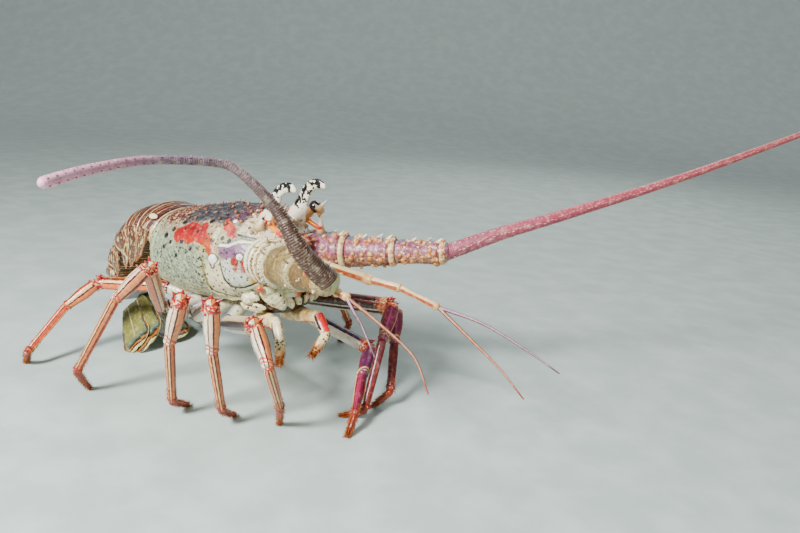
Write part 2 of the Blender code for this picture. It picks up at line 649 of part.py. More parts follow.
def build():
    for obj in list(bpy.data.objects):
        bpy.data.objects.remove(obj)
    home = bpy.data.collections.new("spiny_lobster")
    bpy.context.scene.collection.children.link(home)
    nodes = []

    def add(obj, kind):
        nodes.append((obj, kind))
        return obj

    shell, core = carapace()
    add(shell, "shell")
    chest = add(sternum(), "under")
    seat(chest, [core])
    tail = [add(abdomen_segment(k), "tail") for k in range(6)]
    seat(tail[0], [core])
    for blade, obj in tail_fan().items():
        obj.name = blade
        seat(obj, [tail[5]])
        add(obj, "fan")
    bases = {}
    for word, path, radii in (("right", PED_R, PED_R_RAD), ("left", PED_L, PED_L_RAD)):
        bases[word] = add(antenna_base(word, path, radii), "horny")
        seat(bases[word], [core])
    for side, word in ((1, "left"), (-1, "right")):
        brow = add(horn(side), "shell")
        seat(brow, [shell])
        seat(add(eye(side), "eye"), [shell, brow, bases[word]])
    plate_obj = add(brow_plate(), "horny")
    seat(plate_obj, [core, bases["right"], bases["left"]])
    bar = add(mouth_frame(), "under")
    seat(bar, [core, bases["right"], bases["left"]])
    jaws = add(mouth(), "under")
    seat(jaws, [core, chest, bar])
    for prefix, points, radii, cuts, blunt, word in (
            ("antenna_right", LASH_R, LASH_R_RAD, [0, 4, 8, 10, 14], True, "right"),
            ("antenna_left", LASH_L, LASH_L_RAD, [0, 4, 8, 12], False, "left")):
        lengths = lash(prefix, points, radii, cuts, blunt)
        seat(lengths[0], [bases[word]])
        for obj in lengths:
            add(obj, "lash")
    for word, path, fines in (("right", ANNULE_R, FINE_R), ("left", ANNULE_L, FINE_L)):
        parts = antennule(word, path, fines)
        seat(parts[0], [core, plate_obj, bases["right"], bases["left"]])
        seat(parts[1], [parts[0]])
        seat(parts[2], [parts[0], parts[1]])
        for obj in parts:
            add(obj, "lash")
    for word, path in (("right", JAW_R), ("left", JAW_L)):
        seat(add(jaw_leg(word, path), "under"), [core, chest])
    for name, path in LEGS.items():
        top, low = leg(name, path)
        seat(top, [core, chest])
        seat(low, [top])
        add(top, "leg")
        add(low, "leg")
    bpy.data.objects.remove(core)
    for obj, kind in nodes:
        keep_largest(obj)
        paint(obj, kind)
        home.objects.link(obj)


build()
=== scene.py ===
"""Looks of the spiny lobster: fine shell plates, spines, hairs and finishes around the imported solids.

Lengths are millimetres in the same standing coordinates as part.py, and row() turns them into the
frame's metres. X is forward, Y is the lobster's left, Z is up and the feet stand on z = 0.
"""
import math

import bpy
import numpy as np
from mathutils import Matrix


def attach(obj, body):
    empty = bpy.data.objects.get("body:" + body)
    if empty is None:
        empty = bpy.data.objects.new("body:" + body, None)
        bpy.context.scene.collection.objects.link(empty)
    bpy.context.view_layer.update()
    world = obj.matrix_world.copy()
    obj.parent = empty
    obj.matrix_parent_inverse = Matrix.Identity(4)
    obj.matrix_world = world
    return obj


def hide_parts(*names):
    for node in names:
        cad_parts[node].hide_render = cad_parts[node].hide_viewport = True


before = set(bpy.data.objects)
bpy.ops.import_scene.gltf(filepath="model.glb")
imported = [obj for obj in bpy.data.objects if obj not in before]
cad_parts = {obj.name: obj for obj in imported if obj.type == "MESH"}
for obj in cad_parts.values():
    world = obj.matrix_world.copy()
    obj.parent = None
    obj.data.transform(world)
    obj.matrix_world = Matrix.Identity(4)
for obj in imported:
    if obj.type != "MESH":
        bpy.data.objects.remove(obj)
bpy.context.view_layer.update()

# The frame's metre, the lean and the height of the shell, and the step to the frame's middle
MM = 0.001
PITCH = math.radians(7.4)
RIDE = 79.5
SHIFT = np.array((-121.7, -95.4, 0.0))

# The least heights above the floor of a piece, a leg and a hair
PIECE_GAP = 0.03
LEG_GAP = 0.02
HAIR_GAP = 0.05

# Where the camera stands and how it is turned, with its lens in millimetres
CAMERA_AT = (329.5, -301.9, 196.7)
CAMERA_YAW = math.radians(123.7272)
CAMERA_PITCH = math.radians(-15.2894)
CAMERA_ROLL = math.radians(4.0)
CAMERA_LENS = 31.1

# Lamps by name, with the place in metres, the size and the power of each, and the place they light
LAMPS = [("key", (-0.1, -0.8, 0.62), 0.2, 23.0), ("fill", (0.8, -0.4, 0.6), 0.7, 3.0),
         ("back", (-0.3, 0.9, 0.9), 0.6, 7.0)]
LIT = np.array((0.0, 0.0, 0.05))

# Middle lines of the feelers, jaw legs and legs, with the radius at each corner of a feeler's
STALK_RIGHT = [(44, -17, 87), (64, -24, 89), (87, -32, 91), (110, -39, 92.5)]
STALK_RIGHT_RADII = [16.0, 13.5, 10.5, 7.6]
STALK_LEFT = [(44, 17, 87), (71, 27, 90), (99, 39, 93.5), (127, 51, 96.5)]
STALK_LEFT_RADII = [15.0, 11.0, 8.6, 6.9]
WHIP_RIGHT = [(110, -39, 93), (102, -52, 110), (90, -57.5, 130), (77, -69, 147), (70, -79, 151.5),
              (66, -112, 154), (73, -144, 153), (84, -171, 151)]
WHIP_RIGHT_RADII = [6.4, 5.0, 3.1, 2.3, 2.1, 2.1, 2.2, 2.4]
WHIP_LEFT = [(127, 51, 96.5), (150, 75, 109), (176, 101, 121), (227, 166, 146),
             (282, 244, 177), (330, 315, 205), (360, 362, 222)]
WHIP_LEFT_RADII = [5.0, 4.2, 3.5, 2.6, 1.9, 1.3, 0.7]
ANTENNULE_RIGHT = [(55, -6, 84), (90, -17, 82), (107, -27, 83.5), (121.7, -37.4, 87)]
ANTENNULE_LEFT = [(55, 6, 86), (107.5, 3.5, 84), (123, 9, 82), (144, 17, 74)]
ANTENNULE_RADII = [3.6, 2.8, 2.3, 2.0]
FINE_RIGHT = [[(122, -37.5, 86.5), (127, -37.5, 80), (131, -35, 72), (139, -34, 58)],
              [(122, -37.5, 86.5), (137, -30, 75), (155, -22, 59), (167, -24.5, 43)]]
FINE_LEFT = [[(144, 17, 74), (169, 26, 68), (195, 34, 56), (211, 39, 47)],
             [(144, 17, 74), (162, 19, 62), (182.5, 22.5, 47), (198.5, 24, 33)]]
JAW_LEG_RIGHT = [(32, -11, 48), (61, -25, 53), (69, -30, 44), (75.5, -37, 35)]
JAW_LEG_LEFT = [(34, 8, 45.5), (74, -3, 55.5), (83, -6, 47), (82, -18, 36)]
LEGS = {
    "leg_right_1": [(17.5, -9, 52), (18.7, -25, 42), (76.8, -57.1, 64.4), (96.1, -66.2, 48.7),
                    (87.3, -47.7, 16.1), (78.4, -39, 0)],
    "leg_right_2": [(7.6, -11, 51), (-1.4, -31, 43.5), (65.8, -77.3, 77.8), (62.6, -74.2, 50.2),
                    (58.5, -64.1, 11.2), (52.3, -48.5, 0)],
    "leg_right_3": [(-4.3, -13, 50), (-17, -30, 41), (46.3, -81.3, 77), (37.1, -81.7, 50.3),
                    (28.7, -74.3, 10.4), (22.5, -57.8, 0)],
    "leg_right_4": [(-16, -15, 49), (-31, -36, 43), (3.2, -68.9, 83.8), (-10.9, -81.7, 63.3),
                    (-32.3, -94.7, 16.7), (-37.5, -83.7, 0)],
    "leg_right_5": [(-31, -15, 47.5), (-46, -21.5, 51), (-86.7, -45, 49.1), (-93, -64.8, 35),
                    (-92.2, -92.7, 10.7), (-101.5, -88.7, 0)],
    "leg_left_1": [(17.5, 9, 52), (25, 17, 48), (88, 33, 28), (99, 10, 20),
                   (114.5, -15.7, 9), (117, -25.3, 0)],
    "leg_left_2": [(7.6, 11, 51), (15, 23, 52), (95.6, 43.7, 56.6), (104.5, 21.3, 41.6),
                   (111, -1.5, 5.6), (97.3, -8.3, 0)],
    "leg_left_3": [(-4.3, 13, 50), (2, 29, 46), (90, 56.5, 49), (101, 40, 32.5),
                   (112.6, 21.8, 9.8), (104.7, 13, 0)],
    "leg_left_4": [(-15.2, 15, 49), (-13, 31, 49), (8, 72, 70), (14, 82, 46),
                   (23, 93, 12), (22, 84, 0)],
    "leg_left_5": [(-27, 16, 47), (-33, 31, 46), (-80, 58, 58), (-92, 72, 38),
                   (-104, 94, 12), (-109, 86, 0)],
}

# The tail: X and Z down the middle of its back, then half-width, depth, and each flap's drop, sweep and width
TAIL_PATH = [(-50, 101.5), (-63, 103), (-77, 100.5), (-91, 93), (-103, 80.5), (-112, 66),
             (-117, 50), (-114.5, 35), (-105, 24)]
TAIL_HALF = [27.5, 28, 28, 27, 26, 24, 21.5]
TAIL_DEEP = [31, 31, 30, 27.5, 25, 22, 19]
FLAP_DEEP = [1.22, 1.3, 1.2, 1.06, 1.0]
FLAP_BACK = [3, 9, 10, 9, 7]
FLAP_WIDE = [0.75, 1, 1, 0.9, 0.8]

# The left brow horn's middle line, in body coordinates
HORN = [(39, 11.5, 19.5), (46, 12, 27), (49.5, 12.3, 34), (53.5, 12.6, 40.5), (59, 12.8, 44),
        (64, 12.8, 44.3), (68, 12.6, 42)]

# Strong spines of a stalk's joint by place along it, angle round it and relative length
STALK_SPINES = [(0.35, 95, 1.0), (0.35, 40, 1.0), (0.62, 65, 1.3), (0.85, 100, 1.4), (0.85, 35, 1.5),
                (0.88, -30, 1.0), (0.88, 160, 1.0)]

# The forked spine on the far stalk, as the root, way, length and radius of its stem and three tines
FORK = [((54.5, 19, 100), (2.5, -5.5, 18), 19, 2.3), ((57, 13.8, 116), (0, -6.1, 4.7), 8, 1.5),
        ((57, 13.8, 116.5), (1, 5.6, 5.4), 8, 1.5), ((56.5, 14.6, 113), (3.5, 3, 2.6), 5, 1.1)]

# Millimetres along one ring of a whip, and the way that its rings are turned from
RING = 1.25
WHIP_SIDE = np.array((0.3, 0.4, -0.86))

# Millimetres on the shell for one degree round it
DEGREE = 0.58

# The span of a joint's first surface value, so that it ends just short of the next joint's
JOINT_SPAN = 0.999


def unit(v):
    """The same ways at a length of one."""
    v = np.asarray(v, float)
    return v / np.maximum(np.linalg.norm(v, axis=-1, keepdims=True), 1e-12)


def place(points):
    """Body coordinates, with the middle of the shell at the origin, to standing ones."""
    p = np.asarray(points, float)
    c, s = math.cos(PITCH), math.sin(PITCH)
    return np.stack([p[..., 0] * c - p[..., 2] * s, p[..., 1],
                     p[..., 0] * s + p[..., 2] * c + RIDE], -1)


def row(points):
    """Standing millimetres to the frame's metres."""
    return (np.asarray(points, float) + SHIFT) * MM


def mirrored(points, side):
    """The same points on the left for a side of 1 and on the right for -1."""
    return [(x, y * side, z) for x, y, z in points]


def round_way(side, up, degrees):
    """The way out at an angle round a limb, turned from its side way to its upper one."""
    angle = math.radians(degrees)
    return up * math.sin(angle) + side * math.cos(angle)


def spline(points, count):
    """A Catmull-Rom curve through the points, at evenly spaced values of its parameter."""
    p = np.asarray(points, float)
    p = np.vstack([2 * p[0] - p[1], p, 2 * p[-1] - p[-2]])
    t = np.linspace(0, len(p) - 3, count)
    i = np.minimum(t.astype(int), len(p) - 4)
    f = (t - i)[:, None]
    a, b, c, d = p[i], p[i + 1], p[i + 2], p[i + 3]
    return 0.5 * (2 * b + (c - a) * f + (2 * a - 5 * b + 4 * c - d) * f ** 2
                  + (3 * b - a - 3 * c + d) * f ** 3)


def ease(x, at, values):
    """Values at stations joined by half cosine waves, so that each station is level."""
    x = np.asarray(x, float)
    at = np.asarray(at, float)
    values = np.asarray(values, float)
    i = np.clip(np.searchsorted(at, x, side="right") - 1, 0, len(at) - 2)
    f = np.clip((x - at[i]) / (at[i + 1] - at[i]), 0, 1)
    return values[i] + (values[i + 1] - values[i]) * (1 - np.cos(math.pi * f)) / 2


def bump(distance, width):
    """A Gaussian: 1 at no distance and 0.37 at one width."""
    return np.exp(-(distance / width) ** 2)


def grain(points, size, seed):
    """Soft irregular swelling between about -1 and 1: the mean of eight sine waves of random direction."""
    draw = np.random.default_rng(seed)
    way = unit(draw.normal(size=(8, 3))) * (2 * math.pi / size) * draw.uniform(0.7, 1.4, (8, 1))
    phase = draw.uniform(0, 2 * math.pi, 8)
    return np.sin(points @ way.T + phase).mean(-1) * 1.8


class Skin:
    """Points, faces with a UV pair at each corner, and numbers at each point that a finish reads."""

    def __init__(self, verts, quads, quad_uv, tris, tri_uv, marks=None):
        self.verts = verts
        self.quads = quads
        self.quad_uv = quad_uv
        self.tris = tris
        self.tri_uv = tri_uv
        self.marks = marks or {}

    def outward(self):
        """Turns every face over if the signed volume, the sum of a . (b x c) / 6, is negative."""
        q, t = self.verts[self.quads], self.verts[self.tris]
        a = np.concatenate([q[:, 0], q[:, 0], t[:, 0]])
        b = np.concatenate([q[:, 1], q[:, 2], t[:, 1]])
        c = np.concatenate([q[:, 2], q[:, 3], t[:, 2]])
        if (a * np.cross(b, c)).sum() < 0:
            self.quads = self.quads[:, ::-1]
            self.quad_uv = self.quad_uv[:, ::-1]
            self.tris = self.tris[:, ::-1]
            self.tri_uv = self.tri_uv[:, ::-1]
        return self


def wrap(grid, u=None, v=None, marks=None):
    """Faces over rings of points. Corner (i, j) joins (i, j+1), (i+1, j+1) and (i+1, j), the last
    column joins the first, and each end is a fan of triangles to the mean of its ring."""
    m, n = grid.shape[:2]
    u = np.linspace(0, 1, m) if u is None else np.asarray(u, float)
    v = np.linspace(0, 1, n + 1) if v is None else np.asarray(v, float)
    i, j = [g.ravel() for g in np.meshgrid(np.arange(m - 1), np.arange(n), indexing="ij")]
    k = (j + 1) % n
    quads = np.stack([i * n + j, i * n + k, (i + 1) * n + k, (i + 1) * n + j], -1)
    quad_uv = np.stack([np.stack([u[a], v[b]], -1) for a, b in
                        ((i, j), (i, j + 1), (i + 1, j + 1), (i + 1, j))], 1)
    j = np.arange(n)
    k = (j + 1) % n
    last = (m - 1) * n
    tris = np.concatenate([np.stack([k, j, np.full(n, m * n)], -1),
                           np.stack([last + j, last + k, np.full(n, m * n + 1)], -1)])
    first_uv = np.stack([np.stack([np.full(n, u[0]), v[a]], -1) for a in (j + 1, j, j)], 1)
    last_uv = np.stack([np.stack([np.full(n, u[-1]), v[a]], -1) for a in (j, j + 1, j)], 1)
    verts = np.concatenate([grid.reshape(-1, 3), [grid[0].mean(0), grid[-1].mean(0)]])
    full = {}
    for key, values in (marks or {}).items():
        values = np.broadcast_to(values, (m, n))
        full[key] = np.concatenate([values.ravel(), [values[0].mean(), values[-1].mean()]])
    return Skin(verts, quads, quad_uv, tris, np.concatenate([first_uv, last_uv]), full).outward()


def join(skins):
    """One skin of many, with the corner numbers moved on and missing marks left at nought."""
    skins = list(skins)
    start = np.cumsum([0] + [len(s.verts) for s in skins])[:-1]
    keys = sorted({k for s in skins for k in s.marks})
    marks = {k: np.concatenate([s.marks.get(k, np.zeros(len(s.verts))) for s in skins]) for k in keys}
    return Skin(np.concatenate([s.verts for s in skins]),
                np.concatenate([s.quads + o for s, o in zip(skins, start)]),
                np.concatenate([s.quad_uv for s in skins]),
                np.concatenate([s.tris + o for s, o in zip(skins, start)]),
                np.concatenate([s.tri_uv for s in skins]), marks)


def piece(name, skin, finish, nodes=()):
    """Puts a skin into the scene as one object in the frame's metres, above the floor, riding on the root."""
    mesh = bpy.data.meshes.new(name)
    verts = skin.verts.copy()
    verts[:, 2] = np.maximum(verts[:, 2], PIECE_GAP)
    mesh.from_pydata(row(verts).tolist(), [], skin.quads.tolist() + skin.tris.tolist())
    layer = mesh.uv_layers.new(name="surface")
    corners = np.concatenate([skin.quad_uv.reshape(-1, 2), skin.tri_uv.reshape(-1, 2)])
    layer.data.foreach_set("uv", corners.astype(np.float32).ravel())
    for key, values in skin.marks.items():
        attribute = mesh.attributes.new(key, "FLOAT", "POINT")
        attribute.data.foreach_set("value", values.astype(np.float32))
    mesh.polygons.foreach_set("use_smooth", np.ones(len(mesh.polygons), bool))
    mesh.materials.append(finish)
    obj = bpy.data.objects.new(name, mesh)
    bpy.context.scene.collection.objects.link(obj)
    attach(obj, "root")
    if nodes:
        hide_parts(*nodes)


def oval(n, power=2.0):
    """Points round a unit superellipse, and the angle of each."""
    a = np.arange(n) * 2 * math.pi / n
    c, s = np.cos(a), np.sin(a)
    return np.sign(c) * np.abs(c) ** (2 / power), np.sign(s) * np.abs(s) ** (2 / power), a


def rings(path, wide, high, side, n, power=2.0):
    """Ovals across a path, wide along the side direction and high along the direction square to it."""
    path = np.asarray(path, float)
    along = unit(np.gradient(path, axis=0))
    side = np.asarray(side, float)
    across = unit(side - along * (along @ side)[:, None])
    lift = np.cross(along, across)
    c, s, _ = oval(n, power)
    w = np.broadcast_to(wide, len(path))[:, None, None]
    h = np.broadcast_to(high, len(path))[:, None, None]
    return path[:, None] + w * c[None, :, None] * across[:, None] + h * s[None, :, None] * lift[:, None]


def raised(grid, height):
    """Each point moved by the height along the normal, the cross product of its row and column steps."""
    down = np.gradient(grid, axis=0)
    round_ = (np.roll(grid, -1, 1) - np.roll(grid, 1, 1)) / 2
    normal = unit(np.cross(down, round_))
    out = ((grid - grid.mean(1, keepdims=True)) * normal).sum(-1)
    normal = normal * np.sign(out.mean())
    return grid + normal * np.broadcast_to(height, grid.shape[:2])[..., None]


def spikes(roots, ways, lengths, radii, bend=None, sides=6, levels=(0, 0.2, 0.45, 0.7, 0.9), colour=None,
           dome=False):
    """Many tapering spines: rings whose radius falls as (1 - t) with a flare at the root, or as
    sqrt(1 - t squared) for domes, along the way times t plus the bend times t squared, closed by a tip
    and a sunk foot."""
    roots = np.asarray(roots, float)
    count = len(roots)
    ways = np.broadcast_to(unit(ways), (count, 3))
    lengths = np.broadcast_to(lengths, count).astype(float)
    radii = np.broadcast_to(radii, count).astype(float)
    bend = np.zeros((count, 3)) if bend is None else np.broadcast_to(bend, (count, 3))
    guide = np.where(np.abs(ways[:, 2:]) > 0.9, [[1.0, 0, 0]], [[0, 0, 1.0]])
    side = unit(np.cross(ways, guide))
    lift = np.cross(ways, side)
    t = np.array(levels)
    taper = np.sqrt(1 - t ** 2) if dome else (1 - t) * (1 + 0.7 * np.exp(-7 * t))
    a = np.arange(sides) * 2 * math.pi / sides
    middle = (roots[:, None] + ways[:, None] * (t[None] * lengths[:, None])[..., None]
              + bend[:, None] * (t[None] ** 2 * lengths[:, None])[..., None])
    middle[:, 0] -= ways * (radii * 1.2)[:, None]
    circle = (np.cos(a)[None, :, None] * side[:, None] + np.sin(a)[None, :, None] * lift[:, None])
    ring = middle[:, :, None] + circle[:, None] * (taper[None, :] * radii[:, None])[..., None, None]
    tip = roots + ways * lengths[:, None] + bend * lengths[:, None]
    foot = middle[:, 0]
    per = len(t) * sides + 2
    verts = np.concatenate([ring.reshape(count, -1, 3), foot[:, None], tip[:, None]], 1)
    i, j = [g.ravel() for g in np.meshgrid(np.arange(len(t) - 1), np.arange(sides), indexing="ij")]
    k = (j + 1) % sides
    quads = np.stack([i * sides + j, i * sides + k, (i + 1) * sides + k, (i + 1) * sides + j], -1)
    j = np.arange(sides)
    k = (j + 1) % sides
    last = (len(t) - 1) * sides
    tris = np.concatenate([np.stack([k, j, np.full(sides, per - 2)], -1),
                           np.stack([last + j, last + k, np.full(sides, per - 1)], -1)])
    heights = np.concatenate([np.repeat(t, sides), [0, 1]])
    colour = np.random.default_rng(count).uniform(size=count) if colour is None else colour
    shift = (np.arange(count) * per)[:, None, None]
    tone = np.broadcast_to(np.asarray(colour, float)[:, None, None], (count, 1, 1))

    def corners(faces):
        """The height and the tone of each corner of these faces, for all the spines."""
        h = np.broadcast_to(heights[faces], (count,) + faces.shape)
        return np.stack([h, np.broadcast_to(tone, h.shape)], -1).reshape(-1, faces.shape[1], 2)

    return Skin(verts.reshape(-1, 3), (quads + shift).reshape(-1, 4), corners(quads),
                (tris + shift).reshape(-1, 3), corners(tris)).outward()


def knobs(roots, ways, sizes, tall):
    """Round nodules: spikes with a dome's rings, as tall as their size times a factor."""
    return spikes(roots, ways, np.array(sizes) * tall, sizes, None, 9, (0, 0.3, 0.6, 0.85, 0.97), dome=True)


class Field:
    """A socket used in sums: each operator adds one Math node to the finish it belongs to."""

    def __init__(self, finish, socket):
        self.finish = finish
        self.socket = socket

    def _math(self, operation, a, b=None):
        values = {0: a} if b is None else {0: a, 1: b}
        return self.finish.node("ShaderNodeMath", {"operation": operation}, values)

    def __add__(self, other):
        return self._math("ADD", self, other)

    __radd__ = __add__

    def __sub__(self, other):
        return self._math("SUBTRACT", self, other)

    def __rsub__(self, other):
        return self._math("SUBTRACT", other, self)

    def __mul__(self, other):
        return self._math("MULTIPLY", self, other)

    def __truediv__(self, other):
        return self._math("DIVIDE", self, other)

    def __pow__(self, other):
        return self._math("POWER", self, other)

    def __lt__(self, other):
        return self._math("LESS_THAN", self, other)

    def __gt__(self, other):
        return self._math("GREATER_THAN", self, other)

    def most(self, other):
        """The larger of two values."""
        return self._math("MAXIMUM", self, other)

    def wave(self):
        """The sine."""
        return self._math("SINE", self)

    def size(self):
        """The value without its sign."""
        return self._math("ABSOLUTE", self)

    def cycle(self, length=1.0):
        """The value counted from nought again after each length."""
        return self._math("FLOORED_MODULO", self, length)


def colour(code):
    """A hexadecimal screen colour as linear values, made stronger because the studio light pales it."""
    c = np.array([int(code[i:i + 2], 16) / 255 for i in (0, 2, 4)])
    c = np.where(c <= 0.04045, c / 12.92, ((c + 0.055) / 1.055) ** 2.4)
    grey = c @ (0.2126, 0.7152, 0.0722)
    c = np.clip(grey + (c - grey) * 1.3, 0.001, 0.9) ** 1.15
    return (*c.tolist(), 1.0)


class Finish:
    """One node material. Patterns are built on it and end in its Principled shader."""

    def __init__(self, name, rough=0.4, coat=0.0):
        self.material = bpy.data.materials.new(name)
        self.material.use_nodes = True
        self.tree = self.material.node_tree
        self.shader = self.tree.nodes["Principled BSDF"]
        self.shader.inputs["Roughness"].default_value = rough
        self.shader.inputs["Coat Weight"].default_value = coat
        self.shader.inputs["Coat Roughness"].default_value = 0.2

    def put(self, socket, value):
        """Links a field to a socket, or sets the socket to a colour code or a number."""
        if isinstance(value, Field):
            self.tree.links.new(value.socket, socket)
        elif isinstance(value, str):
            socket.default_value = colour(value)
        else:
            socket.default_value = value

    def node(self, kind, settings=None, values=None, output=0):
        """Adds a node of a type: its settings or a ramp's stops first, then its sockets' values or links."""
        node = self.tree.nodes.new(kind)
        for key, value in (settings or {}).items():
            if key == "stops":
                self.set_stops(node.color_ramp.elements, value)
            elif key == "steps":
                node.color_ramp.interpolation = value
            else:
                setattr(node, key, value)
        for key, value in (values or {}).items():
            self.put(node.inputs[key], value)
        return Field(self, node.outputs[output])

    def set_stops(self, elements, stops):
        """Puts the places and colour codes of a band into a ramp's elements."""
        elements.remove(elements[1])
        for order, (at, code) in enumerate(stops):
            stop = elements.new(at) if order else elements[0]
            stop.position = at
            stop.color = colour(code)

    def bands(self, value, stops, soft=False):
        """A colour for each span of a value from 0 to 1, given as places and the colour that starts there."""
        settings = {"steps": "LINEAR" if soft else "CONSTANT", "stops": stops}
        return self.node("ShaderNodeValToRGB", settings, {0: value})

    def where(self, scale=1000.0):
        """Object coordinates in millimetres, or in another unit by its scale."""
        at = self.node("ShaderNodeTexCoord", output=3)
        return self.node("ShaderNodeVectorMath", {"operation": "SCALE"}, {0: at, 3: scale})

    def drawn(self, at, longer, turn=(0, 0, 0)):
        """Coordinates in which a pattern comes out longer by three factors, along turned axes."""
        return self.node("ShaderNodeMapping", {"vector_type": "TEXTURE"},
                         {"Vector": at, "Rotation": turn, "Scale": longer})

    def surface(self):
        """The two values of the piece's own UV map."""
        at = self.node("ShaderNodeUVMap", {"uv_map": "surface"})
        split = self.node("ShaderNodeSeparateXYZ", values={0: at})
        return split, Field(self, split.socket.node.outputs[1])

    def mark(self, name):
        """A number that the skin holds at each point."""
        return self.node("ShaderNodeAttribute", {"attribute_name": name}, output=2)

    def noise(self, at, scale, detail=3.0, rough=0.55):
        """Soft noise about a half, with about this many waves each millimetre."""
        return self.node("ShaderNodeTexNoise", values={"Vector": at, "Scale": scale, "Detail": detail,
                                                       "Roughness": rough})

    def waver(self, at, scale, detail=3.0):
        """Noise about nought."""
        return self.noise(at, scale, detail) - 0.5

    def cells(self, at, scale, random=1.0):
        """The distance to the nearest of many strewn points."""
        return self.node("ShaderNodeTexVoronoi", {"feature": "F1"},
                         {"Vector": at, "Scale": scale, "Randomness": random})

    def dots(self, at, scale, outer, inner, random=1.0):
        """Round dots, one within the inner distance of their middles and nought past the outer."""
        return self.ramp(self.cells(at, scale, random), outer, inner)

    def ramp(self, value, low, high):
        """Nought at low, one at high, whichever is larger, and a smooth step between."""
        first, last = (1.0, 0.0) if low > high else (0.0, 1.0)
        return self.node("ShaderNodeMapRange", {"interpolation_type": "SMOOTHSTEP"},
                         {0: value, 1: min(low, high), 2: max(low, high), 3: first, 4: last})

    def clouds(self, at, scale, low, high, detail=3.0):
        """Soft patches of noise, nought below low and one above high."""
        return self.ramp(self.noise(at, scale, detail), low, high)

    def band(self, value, centre, half, soft):
        """One within half of the centre, fading out over soft."""
        return self.ramp((value - centre).size(), half + soft, half)

    def stripes(self, value, *places):
        """One within any of several bands, each given by its centre, half-width and softness."""
        found = self.band(value, *places[0])
        for one in places[1:]:
            found = found.most(self.band(value, *one))
        return found

    def mix(self, factor, a, b):
        """Colour a where the factor is nought and colour b where it is one."""
        return self.node("ShaderNodeMix", {"data_type": "RGBA"}, {0: factor, 6: a, 7: b}, 2)

    def layers(self, base, *coats):
        """Coats of (mask, colour) laid over a base one after another."""
        for mask, tone in coats:
            base = self.mix(mask, base, tone)
        return base

    def wear(self, base, at, scale=0.35, amount=0.22):
        """The base made lighter and darker by soft noise, as a living shell is never even."""
        value = self.noise(at, scale, 4.0, 0.6)
        dark = self.mix(self.ramp(value, 0.62, 0.3) * amount, base, "1d130f")
        return self.mix(self.ramp(value, 0.5, 0.8) * amount, dark, "f6ecd4")

    def done(self, base, height=None, strength=0.3, depth=0.3, rough=None):
        """The material, with its base colour, and its bumps and roughness where they are given."""
        self.put(self.shader.inputs["Base Color"], base)
        if rough is not None:
            self.put(self.shader.inputs["Roughness"], rough)
        if height is not None:
            bent = self.node("ShaderNodeBump", values={"Strength": strength, "Distance": depth * MM,
                                                       "Height": height})
            self.put(self.shader.inputs["Normal"], bent)
        return self.material


def fresh_finish(name, rough, coat):
    """A new finish, its millimetre coordinates and the two values of the piece's UV map."""
    f = Finish(name, rough, coat)
    return (f, f.where(), *f.surface())


# The shell's top, half-width and underside at stations of body x, the powers of its superellipse above
# and below, and the counts of its small spines and knobs
SHELL_AT = [-50, -45, -20, 0, 20, 36, 44, 49]
SHELL_TOP = [27.0, 28.5, 31.2, 33, 32.5, 29.5, 25, 19]
SHELL_HALF = [30.0, 32, 34.5, 35, 33.5, 30, 26.5, 20]
SHELL_LOW = [-19, -21, -25, -26.5, -26.5, -25, -21, -14]
TOP_POWER = 2.15
LOW_POWER = 3.4
SMALL_SPINES = 170
BROW_KNOBS = 90


def shell_point(x, up, side=1):
    """A standing point on the shell and the way out of it, by body x, angle up in degrees and side."""
    x, up = np.broadcast_arrays(np.asarray(x, float), np.asarray(up, float))
    top, half, low = [np.interp(x, SHELL_AT, values) for values in (SHELL_TOP, SHELL_HALF, SHELL_LOW)]
    c, s = np.cos(np.radians(up)), np.sin(np.radians(up))
    power = np.where(s < 0, LOW_POWER, TOP_POWER)
    y = half * np.sign(c) * np.abs(c) ** (2 / power)
    z = np.where(s > 0, top, -low) * np.sign(s) * np.abs(s) ** (2 / power)
    y = y * np.where(s < 0, 1 - 0.07 * np.abs(s), 1.0)
    point = place(np.stack([x, y * side, z], -1))
    out = place(np.stack([x, (y + y / half ** 2 * 900) * side, z + z / top ** 2 * 900], -1)) - point
    return point, unit(out)


# Grooves as corners of (x, angle up) with the depth and the width of each, then swellings by middle,
# reach along, reach round and height
GROOVES = [
    ([(6, 90), (10, 74), (15, 58), (17.5, 38), (16, 18), (19.5, 4)], 1.3, 1.9),
    ([(19.5, 4), (22, -4), (24, -12), (29, -20), (36, -22), (43, -20)], 1.0, 1.3),
    ([(6, 4), (7.5, -10), (8, -22), (12, -34), (24, -46), (38, -50)], 0.8, 1.7),
    ([(20.5, 20), (27, 20), (32, 25), (42, 29)], 1.3, 1.2),
    ([(-45, 90), (-44.5, 45), (-44, 0), (-43, -40), (-40, -60)], 1.0, 1.1),
]
SWELLINGS = [((32, -9), 9, 15, 1.6), ((36, 8), 3.2, 5, 1.2), ((29, 46), 8, 12, 0.8),
             ((-6, 31), 15, 12, 0.5), ((16, 4.5), 3.6, 4.4, 1.0), ((30, 15), 7, 6, 0.9),
             ((26, 49), 1.6, 2.8, 1.1), ((39, 50), 5, 9, 0.9)]
RIM = [(38, -52), (10, -56), (-20, -58), (-42, -54)]

# Painted lines as corners of (x, angle up), then painted patches as circles of (x, angle up, radius)
SHELL_LINES = {
    "ink": [[(31, 33.5), (36, 32.5), (43.5, 34)],
            [(21.5, 3), (23, -9), (27, -19), (32, -22.5), (42, -20)]],
    "pale": [[(21, 19), (27, 19.5), (32, 25), (42, 28.5)]],
    "furrow": [[(6, 4), (7.5, -10), (8, -22), (12, -34), (24, -46)]],
}

